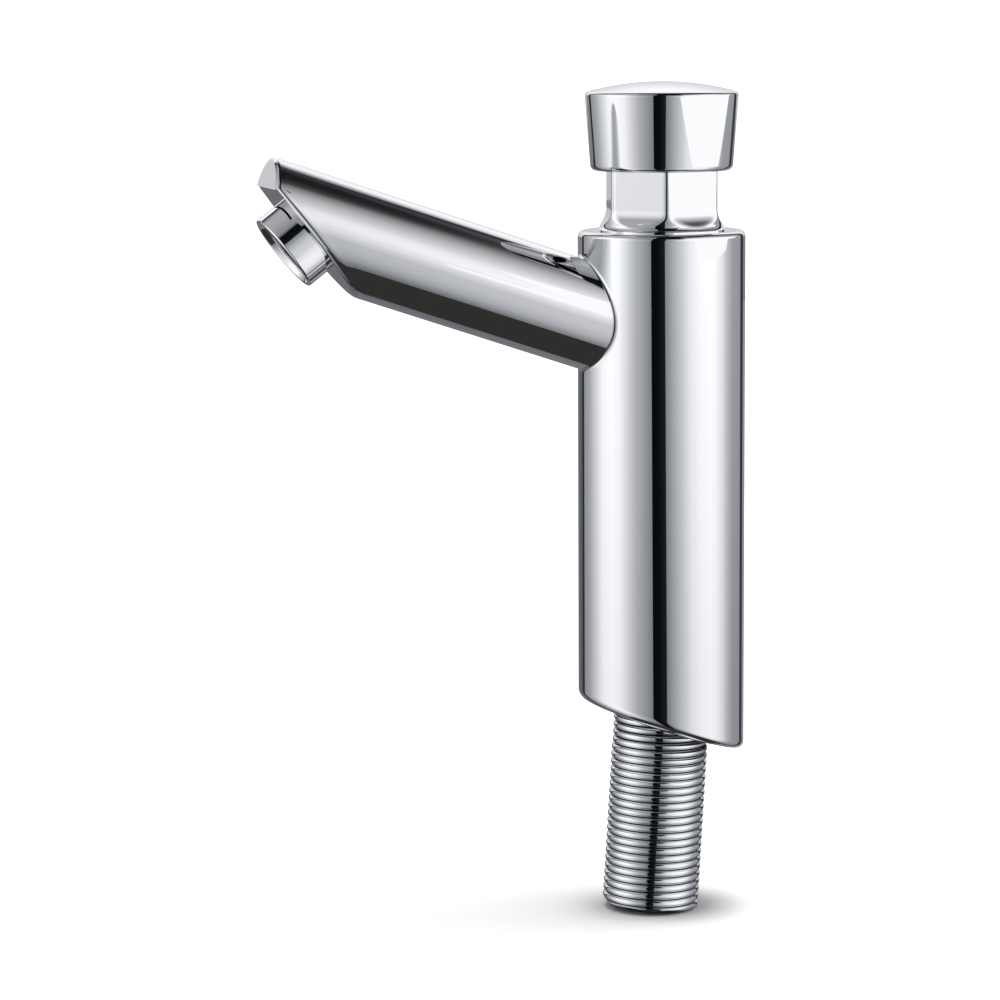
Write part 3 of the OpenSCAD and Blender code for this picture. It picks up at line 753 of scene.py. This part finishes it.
def cut_away(bm: BMesh, tool: BMesh) -> BMesh:
    """Cut one closed mesh out of another.

    Args:
        bm: The mesh that is cut, which is freed.
        tool: The mesh that cuts, which is freed.

    Returns:
        What is left of the first.
    """
    for source in (bm, tool):
        bmesh.ops.recalc_face_normals(source, faces=source.faces)
    cut = add_object(bm, "cut")
    cutter = add_object(tool, "tool")
    drill = cut.modifiers.new("cut", "BOOLEAN")
    drill.operation = "DIFFERENCE"
    drill.solver = "EXACT"
    drill.object = cutter
    left = bmesh.new()
    left.from_object(cut, bpy.context.evaluated_depsgraph_get())
    for obj in (cut, cutter):
        mesh = obj.data
        bpy.data.objects.remove(obj)
        bpy.data.meshes.remove(mesh)
    bmesh.ops.remove_doubles(left, verts=left.verts, dist=MERGE)
    return left


@dataclass
class AeratorCollar:
    """The turned collar that stands out of the spout's end face and holds the aerator."""

    finish: Material
    frame: Matrix
    length: float = 6 * MM
    spigot_len: float = 5.6 * MM
    spigot_r: float = 7.85 * MM
    bore_r: float = 6.95 * MM
    lip_r: float = 6.45 * MM
    lip_t: float = 0.8 * MM
    mouth_r: float = 7.85 * MM
    mouth_depth: float = 1 * MM
    edge: float = 0.4 * MM
    inner_edge: float = 0.25 * MM
    steps: int = 160

    def build(self) -> None:
        """Turn the collar and set it in the spout."""
        outer = half_width("aerator_collar")
        floor = self.length - self.mouth_depth
        lip_top = floor - self.lip_t
        profile = [
            Corner(self.bore_r, -self.spigot_len),
            Corner(self.spigot_r, -self.spigot_len),
            Corner(self.spigot_r, 0),
            Corner(outer, 0),
            Corner(outer, self.length, self.edge),
            Corner(self.mouth_r, self.length, self.inner_edge),
            Corner((self.lip_r + self.mouth_r) / 2, floor),
            Corner(self.lip_r, floor, self.inner_edge),
            Corner(self.lip_r, lip_top),
            Corner(self.bore_r, lip_top),
        ]
        bm = turned(profile, self.steps)
        bmesh.ops.transform(bm, matrix=self.frame, verts=bm.verts)
        add_piece(bm, "aerator_ring", self.finish, "aerator_collar")


@dataclass
class Bonnet:
    """The neck on top of the body, turned with a flange below and milled to flats that run out above it."""

    finish: Material
    neck_r: float = 13.1 * MM
    flare_r: float = 1.6 * MM
    flare_strips: int = 10
    flats: int = 6
    flat_distance: float = 11.4 * MM
    flats_turn: float = math.radians(-12.5)
    # Height at which the flats begin to curve outwards, and the radius and strips of that curve
    flat_rise: float = 4.8 * MM
    flat_root_r: float = 4.2 * MM
    root_strips: int = 24
    # How far the edges between flats and turned metal are polished away, and how round the flats' corners are
    soft_edge: float = 0.5 * MM
    corner_r: float = 1.2 * MM
    spigot_r: float = 13.05 * MM
    spigot_len: float = 7 * MM
    bore_r: float = 9 * MM
    floor: float = 3 * MM
    rod_hole_r: float = 5.5 * MM
    lead: float = 0.5 * MM
    steps: int = 720

    def build(self) -> None:
        """Stack the neck's rings from the spigot up its outside and down its bore."""
        flange = half_width("bonnet")
        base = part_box("tap_body")[1].z
        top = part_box("bonnet")[1].z
        centre = (self.neck_r + self.flare_r, base + self.flare_r)
        # The hollow curve ends where it reaches the flange's rim
        rim_turn = 180 + math.degrees(math.acos((centre[0] - flange) / self.flare_r))
        flare = arc(centre, self.flare_r, rim_turn, 180, self.flare_strips)
        low = flare[-1].height
        flat_z = base + self.flat_rise
        strip = (flat_z - low) / self.root_strips
        profile = [
            Corner(self.rod_hole_r, base - self.spigot_len),
            Corner(self.spigot_r, base - self.spigot_len),
            Corner(self.spigot_r, base),
            Corner(flange, base),
            *flare,
            *(Corner(self.neck_r, low + strip * i) for i in range(1, self.root_strips + 1)),
            Corner(self.neck_r, top - self.lead),
            Corner(self.neck_r - self.lead, top),
            Corner(self.bore_r, top),
            Corner(self.bore_r, base + self.floor),
            Corner(self.rod_hole_r, base + self.floor),
        ]
        bm = skin_rings([self.ring(corner, flat_z) for corner in profile], closed=True)
        add_piece(bm, "neck", self.finish, "bonnet")

    def ring(self, corner: Corner, flat_z: float) -> list[Vector]:
        """Give one ring of the neck, round where it is turned and straight where it is milled.

        Args:
            corner: The ring's turned radius and its height.
            flat_z: The height at which the flats begin to curve outwards.

        Returns:
            The ring's points.
        """
        below = min(max(flat_z - corner.height, 0.0), self.flat_root_r)
        flat = self.flat_distance + self.flat_root_r - math.sqrt(self.flat_root_r**2 - below**2)
        width = math.tau / self.flats
        points = []
        for turn in (math.tau * i / self.steps for i in range(self.steps)):
            off = (turn - self.flats_turn + width / 2) % width - width / 2
            milled = self.milled_reach(flat, off, width / 2)
            gap = max(self.soft_edge - abs(milled - corner.radius), 0.0)
            radius = min(milled, corner.radius) - gap**2 / (4 * self.soft_edge)
            points.append(toward(turn) * radius + Vector((0, 0, corner.height)))
        return points

    def milled_reach(self, flat: float, off: float, half: float) -> float:
        """Give the distance from the axis to the milled outline, which is round at its corners.

        Args:
            flat: The distance of the flat from the axis.
            off: The direction, as an angle from the middle of the flat.
            half: Half of the angle that the flat spans.

        Returns:
            The distance in that direction.
        """
        inner = flat - self.corner_r
        if abs(off) <= math.atan(inner * math.tan(half) / flat):
            return flat / math.cos(off)
        centre = inner / math.cos(half)
        aside = centre * math.sin(half - abs(off))
        return centre * math.cos(half - abs(off)) + math.sqrt(self.corner_r**2 - aside**2)


@dataclass
class Button:
    """The push button: a tapering shell with a low dome."""

    finish: Material
    base_r: float = 15.2 * MM
    side_r: float = 16.5 * MM
    side_h: float = 16.6 * MM
    dome_h: float = 2.3 * MM
    dome_strips: int = 14
    base_edge: float = 1.2 * MM
    top_edge: float = 0.6 * MM
    guide_r: float = 13.18 * MM
    guide_h: float = 4 * MM
    hollow_r: float = 13.98 * MM
    ceiling: float = 14 * MM
    boss_r: float = 5.5 * MM
    boss_base: float = 2.8 * MM
    rod_r: float = 2.55 * MM
    rod_grip: float = 8.5 * MM
    steps: int = 192

    def build(self) -> None:
        """Turn the shell with its boss."""
        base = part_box("button_cap")[0].z
        side_top = base + self.side_h
        dome_r = (self.side_r**2 + self.dome_h**2) / (2 * self.dome_h)
        centre = (0.0, side_top + self.dome_h - dome_r)
        start = math.degrees(math.asin((side_top - centre[1]) / dome_r))
        dome = arc(centre, dome_r, start, 90, self.dome_strips)
        boss_base = base + self.boss_base
        rod_top = boss_base + self.rod_grip
        profile = [
            Corner(0, rod_top),
            Corner(self.rod_r, rod_top),
            Corner(self.rod_r, boss_base),
            Corner(self.boss_r, boss_base),
            Corner(self.boss_r, base + self.ceiling),
            Corner(self.hollow_r, base + self.ceiling),
            Corner(self.hollow_r, base + self.guide_h),
            Corner(self.guide_r, base + self.guide_h),
            Corner(self.guide_r, base),
            Corner(self.base_r, base, self.base_edge),
            Corner(self.side_r, side_top, self.top_edge),
            *dome[1:-1],
            Corner(0, side_top + self.dome_h),
        ]
        bm = turned(profile, self.steps, closed=False)
        add_piece(bm, "push_button", self.finish, "button_cap", Body.PLUNGER)


@dataclass
class Shank:
    """The inlet shank, with a real right-hand thread."""

    finish: Material
    lean: float = SHANK_LEAN
    length: float = 40.2 * MM
    relief_len: float = 3.8 * MM
    relief_r: float = 10.2 * MM
    # Spacing of the turns, taken from how many the photograph shows
    pitch: float = 1.65 * MM
    # Half axes of the ellipse that rounds each crest, along the shank and across it
    crest_half: float = 0.86 * MM
    crest_depth: float = 0.98 * MM
    crest_strips: int = 14
    # How much shallower the turns are near the foot, and how far they run up into it
    run_out: float = 0.12 * MM
    run_in: float = 4.6 * MM
    chamfer: float = 0.8 * MM
    rim_r: float = 8.25 * MM
    rim_t: float = 1.4 * MM
    bore_r: float = 7 * MM
    socket: float = 6 * MM
    steps_per_turn: int = 96
    # Turns wound beyond the shank's length, and how many of them lie below it
    spare_turns: int = 3
    turns_below: int = 2

    def build(self) -> None:
        """Wind the thread, trim it, and close it with the bore and the plain part."""
        crest = half_width("shank")
        bm = self.wind_thread(crest)
        top = self.run_in
        bottom = -self.length
        into_foot = [(self.relief_r, top), (self.relief_r, self.socket), (self.bore_r, self.socket)]
        rim_top = bottom + self.rim_t
        into_bore = [(self.rim_r, bottom), (self.rim_r, rim_top)]
        into_bore += [(self.bore_r, rim_top), (self.bore_r, self.socket)]
        rims = [trim(bm, (0, 0, height), (0, 0, way)) for height, way in ((top, 1), (bottom, -1))]
        self.limit_radius(bm, bottom, crest)
        for rim, steps in zip(rims, (into_foot, into_bore)):
            for radius, level in steps:
                rim = self.carry_on(bm, rim, radius, level)
        bmesh.ops.remove_doubles(bm, verts=bm.verts, dist=MERGE)
        bmesh.ops.transform(bm, matrix=Matrix.Rotation(self.lean, 4, "Y"), verts=bm.verts)
        add_piece(bm, "threaded_shank", self.finish, "shank", weighted=False)

    def wind_thread(self, crest: float) -> BMesh:
        """Wind one turn of the thread's skin up a screw line, and stack copies of it.

        Args:
            crest: The radius of the crests.

        Returns:
            The open skin of the thread, longer than the shank at both ends.
        """
        start = -self.length - self.turns_below * self.pitch
        shape = []
        for part in (i / self.crest_strips for i in range(self.crest_strips + 1)):
            off = (part - 0.5) * self.pitch / self.crest_half
            radius = crest - self.crest_depth * (1 - math.sqrt(1 - off**2))
            shape.append((radius, 0, start + part * self.pitch))
        bm = bmesh.new()
        draw_line(bm, shape)
        spin(bm, math.tau, self.steps_per_turn, climb=self.pitch / self.steps_per_turn)
        one_turn = bm.verts[:] + bm.edges[:] + bm.faces[:]
        turns = math.ceil((self.length + self.run_in) / self.pitch) + self.spare_turns
        for turn in range(1, turns):
            copy = bmesh.ops.duplicate(bm, geom=one_turn)["geom"]
            new_verts = [g for g in copy if isinstance(g, BMVert)]
            bmesh.ops.translate(bm, verts=new_verts, vec=(0, 0, turn * self.pitch))
        bmesh.ops.remove_doubles(bm, verts=bm.verts, dist=MERGE)
        return bm

    def limit_radius(self, bm: BMesh, bottom: float, crest: float) -> None:
        """Let the thread run out towards the foot, and chamfer its end by holding its skin inside a cone.

        Args:
            bm: The thread's mesh.
            bottom: The height of the shank's lower end.
            crest: The radius of the crests.
        """
        for vert in bm.verts:
            radius = math.hypot(vert.co.x, vert.co.y)
            run_out = min(max((vert.co.z + self.relief_len + self.pitch) / self.pitch, 0.0), 1.0)
            limit = crest - self.chamfer + max(vert.co.z - bottom, 0.0)
            scale = min(radius - run_out * self.run_out, limit) / radius
            vert.co.x *= scale
            vert.co.y *= scale

    def carry_on(self, bm: BMesh, rim: list[BMEdge], radius: float, level: float) -> list[BMEdge]:
        """Extrude a round rim to a new radius and height.

        Args:
            bm: The mesh.
            rim: The edges of the rim.
            radius: The new radius.
            level: The new height.

        Returns:
            The edges of the new rim.
        """
        new = bmesh.ops.extrude_edge_only(bm, edges=rim)["geom"]
        for vert in (g for g in new if isinstance(g, BMVert)):
            scale = radius / math.hypot(vert.co.x, vert.co.y)
            vert.co = Vector((vert.co.x * scale, vert.co.y * scale, level))
        return [g for g in new if isinstance(g, BMEdge) and g.is_boundary]


@dataclass
class ReturnSpring:
    """The coil spring under the piston, of round wire."""

    finish: Material
    mean_r: float = 6 * MM
    turns: int = 6
    travel: float = 8 * MM
    steps_per_turn: int = 28
    wire_steps: int = 12

    def build(self) -> None:
        """Wind the wire between the ends of the CAD node."""
        low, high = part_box("return_spring")
        wire_r = half_width("return_spring") - self.mean_r
        bottom = low.z + wire_r
        climb = high.z - wire_r - bottom
        slope = math.atan(climb / (math.tau * self.mean_r * self.turns))
        start = Matrix.Translation((self.mean_r, 0, bottom)) @ Matrix.Rotation(slope - math.pi / 2, 4, "X")
        bm = bmesh.new()
        bmesh.ops.create_circle(bm, cap_ends=False, segments=self.wire_steps, radius=wire_r, matrix=start)
        count = self.turns * self.steps_per_turn
        spin(bm, math.tau * self.turns, count, climb=climb / count)
        bmesh.ops.holes_fill(bm, edges=bm.edges, sides=0)
        obj = add_piece(bm, "coil_spring", self.finish, "return_spring", weighted=False)
        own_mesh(obj)


@dataclass
class CarriedNodes:
    """The CAD nodes that stay as they are and only get finishes."""

    # The record's sub-parts, each with its node and its material slot
    subparts: Sequence[dict[str, str]]

    def dress(self, nodes: dict[str, Object]) -> None:
        """Give each CAD node the finish of its material slot.

        Args:
            nodes: The frame's nodes by name.
        """
        by_slot = {
            Slot.CHROME: POLISHED_CHROME,
            Slot.BRASS: TURNED_BRASS,
            Slot.STEEL: TURNED_STEEL,
            Slot.RUBBER: MOULDED_RUBBER,
            Slot.NYLON: MOULDED_ACETAL,
        }
        for subpart in self.subparts:
            name = subpart["node"]
            finish = DARK_ACETAL if name == "aerator_insert" else by_slot[Slot(subpart["material_slot"])]
            nodes[name].data.materials[0] = material_of(finish)
            log.info("%s is dressed in %s", name, finish.name)


@dataclass(frozen=True)
class PhotoCamera:
    """The camera that took the photograph, as fitted to the outlines of the tap."""

    # Turn to the spout's side and tilt down, in degrees
    azimuth: float = 15.68
    elevation: float = 8.0
    roll: float = -0.304
    distance: float = 770.2 * MM
    # The point looked at: sideways from the body's axis, and below the body's top rim
    aside: float = -34.92 * MM
    below: float = 58.285 * MM
    # Focal length in pixels of a frame that is 1000 pixels wide
    focal_px: float = 3555
    frame_px: float = 1000
    sensor_mm: float = 36
    clip_start: float = 0.01
    clip_end: float = 100

    def back(self) -> Vector:
        """Give the direction from the tap to the camera."""
        return toward(math.radians(-90 - self.azimuth), math.radians(self.elevation))

    def build(self) -> None:
        """Make the camera and let the scene look through it."""
        back = self.back()
        level = toward(math.radians(-self.azimuth))
        above = back.cross(level)
        roll = math.radians(self.roll)
        right = level * math.cos(roll) + above * math.sin(roll)
        up = above * math.cos(roll) - level * math.sin(roll)
        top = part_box("tap_body")[1].z
        eye = Vector((0, 0, top - self.below)) + level * self.aside + back * self.distance
        data = bpy.data.cameras.new("photo camera")
        data.sensor_width = self.sensor_mm
        data.lens = self.focal_px * self.sensor_mm / self.frame_px
        data.clip_start = self.clip_start
        data.clip_end = self.clip_end
        camera = bpy.data.objects.new("photo camera", data)
        turn = Matrix((right, up, back)).transposed().to_4x4()
        camera.matrix_world = Matrix.Translation(eye) @ turn
        bpy.context.scene.collection.objects.link(camera)
        bpy.context.scene.camera = camera


# Heights at which the table and the ceiling begin, in degrees, and the rows in which cards stand, in metres
TABLE = -57
CEILING = 62
BACK_ROW = 3.0
MIDDLE_ROW = 2.95
FRONT_ROW = 2.9


@dataclass(frozen=True)
class Card:
    """A card of the studio, which only the chrome sees. Angles are in degrees.

    Sideways angles are measured round the tap from the camera, to the right in the picture, and heights
    from level.
    """

    name: str
    left: float
    right: float
    low: float
    high: float
    # Tones along the card, as pairs of sideways angle and sRGB grey
    tones: tuple[tuple[float, str], ...]
    # How much brighter or darker the card gets, as pairs of height and factor
    falloff: tuple[tuple[float, float], ...] = ((0, 1.0),)
    distance: float = BACK_ROW


@dataclass(frozen=True)
class Pane:
    """A flat bright pane. The turn is in degrees from the camera, as a card's is."""

    name: str
    turn: float
    distance: float
    strength: float
    # Corners in millimetres: sideways from the middle, seen from the tap, and height above the foot
    corners: tuple[tuple[float, float], ...]


# A pane close to the button, on the right, where only the button and the neck mirror it
BUTTON_PANE = Pane(
    "bright pane",
    57,
    150 * MM,
    1.06,
    ((-15, 92), (115, 92), (270, 112), (270, 180), (-75, 180), (-75, 126), (-121, 122), (-121, 112)),
)
# Both softboxes glow most a little above level, and fade towards the table and the ceiling
SOFTBOX_GLOW = (
    (TABLE, 0.45), (-41, 0.90), (-29, 1.02), (-18, 1.02), (-11, 0.97), (-7, 1.05), (-3.8, 1.10), (4, 1.25),
    (15, 1.28), (26, 1.08), (36, 0.74), (46, 0.48), (54, 0.24), (58, 0.06), (CEILING, 0.03),
)
LEFT_TONES = (
    (-136, "#8e9094"), (-127, "#98999d"), (-118, "#a8aaae"), (-104, "#d2d3d6"), (-91, "#f7f7f8"),
    (-75, "#ffffff"), (-62, "#f6f7f8"), (-46, "#cacbcf"), (-37, "#b0b1b6"), (-22, "#909297"),
    (-15, "#7c7e83"),
)
RIGHT_TONES = (
    (4, "#7e8084"), (9, "#8f9195"), (17, "#abadb1"), (30, "#cfd0d3"), (38, "#e6e7ea"), (52, "#f8f8fa"),
    (70, "#ffffff"), (81, "#f4f4f6"), (93, "#d9d9dc"), (99, "#bebec2"), (113, "#999a9f"), (137, "#8e9095"),
)
GAP_TONES = ((-15, "#08090a"), (-6, "#0c0d0e"), (4, "#1d1e20"))
CEILING_TONES = (
    (-144, "#8f8f93"), (-134, "#9c9da0"), (-111, "#aeaeb2"), (-70, "#a8a9ad"), (-36, "#97989c"),
    (-12, "#7d7e82"),
)
LEFT_CORNER_TONES = ((-178, "#7a7c80"), (-143, "#54565a"))
RIGHT_CORNER_TONES = ((149, "#8a8c90"), (166, "#9a9ca0"))
FRONT_TONES = ((-13, "#0c0d0e"), (32, "#141517"))
# The table behind gets brighter with height, and so does the wall up to its middle, above which it fades
TABLE_GLOW = ((TABLE, 0.14), (-45, 0.32), (-35, 0.58), (-20, 0.90), (-9, 1.0), (-3, 1.35), (-1, 1.5))
WALL_GLOW = (
    (-1, 0.56), (8, 0.72), (15, 0.83), (20, 0.90), (24, 1.0), (29, 1.12), (34, 1.08), (40, 0.95),
    (46, 0.45), (51, 0.10), (57, 0.02), (CEILING, 0.01),
)
CARDS = (
    Card("left softbox", -136, -15, TABLE, CEILING, LEFT_TONES, SOFTBOX_GLOW),
    Card("gap between the softboxes", -15, 4, TABLE, CEILING, GAP_TONES),
    Card("right softbox", 4, 137, TABLE, CEILING, RIGHT_TONES, SOFTBOX_GLOW),
    Card("left edge of the backdrop", -143, -136, TABLE, CEILING, ((0, "#2a2b2e"),)),
    Card("right edge of the backdrop", 137, 149, TABLE, CEILING, ((0, "#35373b"),)),
    Card("left corner of the backdrop", -178, -143, TABLE, -3, LEFT_CORNER_TONES, distance=MIDDLE_ROW),
    Card("right corner of the backdrop", 149, 166, TABLE, -3, RIGHT_CORNER_TONES, distance=MIDDLE_ROW),
    Card("table behind", 149, 217, TABLE, -1, ((0, "#6e6f71"),), TABLE_GLOW),
    Card("wall behind", 149, 217, -1, CEILING, ((0, "#f6f7f9"),), WALL_GLOW),
    Card("ceiling on the left", -144, -12, 46, 72, CEILING_TONES, distance=MIDDLE_ROW),
    Card("dark ceiling in front", -13, 32, 30, 66, FRONT_TONES, distance=FRONT_ROW),
    Card("dark ceiling", -180, 180, CEILING, 90, ((0, "#1b1c1e"),)),
    Card("dark table", -180, 180, -90, TABLE, ((0, "#30312f"),)),
)


@dataclass
class Studio:
    """The floor, the soft light and the cards that the chrome mirrors."""

    camera: PhotoCamera
    # How much of the white surround the floor sees
    floor_share: float = 0.64
    floor_half: float = 12.0
    light_angle: float = math.radians(26)
    # What white paper needs from the light, on top of its share of the surround, to come out white
    light_energy: float = 0.84 * math.pi
    light_height: float = 2.0
    # Cards are bent in steps of about this many degrees
    card_step: float = 3.0

    def build(self) -> None:
        """Set up the whole studio."""
        self.world()
        self.floor()
        self.top_light()
        for card in CARDS:
            self.card(card)
        self.pane(BUTTON_PANE)

    def turn_of(self, angle: float) -> float:
        """Give the turn from X, in radians, at an angle in degrees to the right of the camera."""
        back = self.camera.back()
        return math.atan2(back.y, back.x) + math.radians(angle)

    def world(self) -> None:
        """Surround the set with white, of which the floor sees a part and the camera and the chrome all."""
        world = bpy.data.worlds.new("white surround")
        bpy.context.scene.world = world
        world.use_nodes = True
        tree = world.node_tree
        tree.nodes.clear()
        ray = add_node(tree, "LightPath").outputs
        by_chrome = {0: ray["Is Glossy Ray"], 1: ray["Is Transmission Ray"]}
        mirrored = add_node(tree, "Math", by_chrome, operation="MAXIMUM")
        seen = add_node(tree, "Math", {0: ray["Is Camera Ray"], 1: mirrored}, operation="MAXIMUM")
        share = add_node(tree, "MapRange", {"Value": seen, "To Min": self.floor_share, "To Max": 1.0})
        plain = add_node(tree, "Background", {"Color": linear("#ffffff"), "Strength": share})
        add_node(tree, "OutputWorld", {"Surface": plain})

    def floor(self) -> None:
        """Lay a pale matt floor under the shank, which is clear when it is seen from below."""
        material, tree = empty_material("pale paper floor")
        paper = add_node(tree, "BsdfDiffuse", {"Color": linear("#fafafa"), "Roughness": 0.0})
        clear = add_node(tree, "BsdfTransparent")
        side = add_node(tree, "NewGeometry").outputs["Backfacing"]
        set_surface(tree, "MixShader", {0: side, 1: paper, 2: clear})
        bm = bmesh.new()
        level = Matrix.Translation((0, 0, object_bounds()[0][2]))
        bmesh.ops.create_grid(bm, x_segments=1, y_segments=1, size=self.floor_half, matrix=level)
        floor = add_object(bm, "floor", material)
        floor.visible_glossy = False
        floor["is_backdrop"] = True

    def top_light(self) -> None:
        """Light the set evenly from above, through a wide soft source that leaves a small shadow."""
        data = bpy.data.lights.new("overhead light", "SUN")
        data.angle = self.light_angle
        data.energy = self.light_energy
        lamp = bpy.data.objects.new("overhead light", data)
        lamp.location = (0, 0, self.light_height)
        lamp.visible_glossy = False
        bpy.context.scene.collection.objects.link(lamp)

    def hang(self, bm: BMesh, material: Material, colour: object, strength: object) -> None:
        """Hang a glowing sheet in the studio so that only mirrors see it.

        Args:
            bm: The sheet's mesh, which is freed.
            material: Its material, which has its name and no surface yet.
            colour: The colour of its glow, or the node that gives it.
            strength: The strength of its glow, or the node that gives it.
        """
        set_surface(material.node_tree, "Emission", {"Color": colour, "Strength": strength})
        material.cycles.emission_sampling = "NONE"
        obj = add_object(bm, material.name, material)
        for rays in ("camera", "diffuse", "shadow", "volume_scatter"):
            setattr(obj, "visible_" + rays, False)
        obj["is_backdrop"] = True

    def pane(self, pane: Pane) -> None:
        """Stand a bright pane upright beside the tap, facing it.

        Args:
            pane: The pane.
        """
        outward = toward(self.turn_of(pane.turn))
        along = toward(self.turn_of(pane.turn + 90))
        middle = outward * pane.distance
        bm = bmesh.new()
        corners = [middle + along * side * MM + Vector((0, 0, height * MM)) for side, height in pane.corners]
        bmesh.ops.contextual_create(bm, geom=draw_line(bm, corners, closed=True))
        material, _ = empty_material(pane.name)
        self.hang(bm, material, linear("#ffffff"), pane.strength)

    def card(self, card: Card) -> None:
        """Bend one card round the tap and give it its tones.

        Args:
            card: The card.
        """
        rows = max(2, round((card.high - card.low) / self.card_step))
        columns = max(2, round((card.right - card.left) / self.card_step))
        start = self.turn_of(card.left)
        heights = [math.radians(card.low + (card.high - card.low) * i / rows) for i in range(rows + 1)]
        bm = bmesh.new()
        draw_line(bm, [toward(start, height) * card.distance for height in heights])
        spin(bm, math.radians(card.right - card.left), columns)
        material, tree = empty_material(card.name)
        place = add_node(tree, "TexCoord").outputs["Object"]
        unit = add_node(tree, "VectorMath", {0: place}, operation="NORMALIZE")
        # Turned so that straight away from the camera is where the angle wraps round
        aligned = {"Vector": unit, "Angle": -self.turn_of(0)}
        turned_unit = add_node(tree, "VectorRotate", aligned, rotation_type="Z_AXIS")
        parts = add_node(tree, "SeparateXYZ", {"Vector": turned_unit}).outputs
        turn = add_node(tree, "Math", {0: parts["Y"], 1: parts["X"]}, operation="ARCTAN2")
        height = add_node(tree, "Math", {0: parts["Z"]}, operation="ARCSINE")
        tones = self.ramp(tree, turn, [(angle, linear(tone)) for angle, tone in card.tones], 180)
        most = max(f for _, f in card.falloff)
        greys = [(angle, (f / most, f / most, f / most, 1)) for angle, f in card.falloff]
        fade = {0: self.ramp(tree, height, greys, 90), 1: most}
        self.hang(bm, material, tones, add_node(tree, "Math", fade, operation="MULTIPLY"))

    def ramp(self, tree: NodeTree, angle: Node, stops: Sequence[tuple], limit: float) -> Node:
        """Let a colour depend on an angle.

        Args:
            tree: The node tree.
            angle: The node that gives the angle, in radians.
            stops: Pairs of angle in degrees and colour, in order.
            limit: The angle in degrees that the ramp reaches on either side of nought.

        Returns:
            The node that gives the colour.
        """
        span = {"Value": angle, "From Min": -math.radians(limit), "From Max": math.radians(limit)}
        node = add_node(tree, "ValToRGB", {"Fac": add_node(tree, "MapRange", span)})
        elements = node.color_ramp.elements
        while len(elements) < len(stops):
            elements.new(1.0)
        while len(elements) > len(stops):
            elements.remove(elements[-1])
        for element, (stop, colour) in zip(elements, stops):
            element.position = (stop + limit) / (2 * limit)
            element.color = colour
        return node


def main() -> None:
    """Build the looks round the frame, sub-assembly by sub-assembly."""
    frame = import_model()
    chrome = material_of(POLISHED_CHROME)
    camera = PhotoCamera()
    camera.build()
    CarriedNodes(frame["record"]["subparts"]).dress(frame["nodes"])
    TapBody(chrome).build()
    spout = Spout(chrome)
    spout.build()
    AeratorCollar(chrome, spout.at_aerator()).build()
    Bonnet(chrome).build()
    Button(chrome).build()
    Shank(material_of(THREAD_CHROME)).build()
    ReturnSpring(material_of(TURNED_STEEL)).build()
    Studio(camera).build()
    bpy.context.scene.view_settings.view_transform = "Standard"
    # The chrome would throw light back into the tap's own small shadow
    bpy.context.scene.cycles.caustics_reflective = False


if __name__ == "__main__":
    logging.basicConfig(level=logging.INFO, format="%(relativeCreated)d ms, %(name)s: %(message)s")
    main()
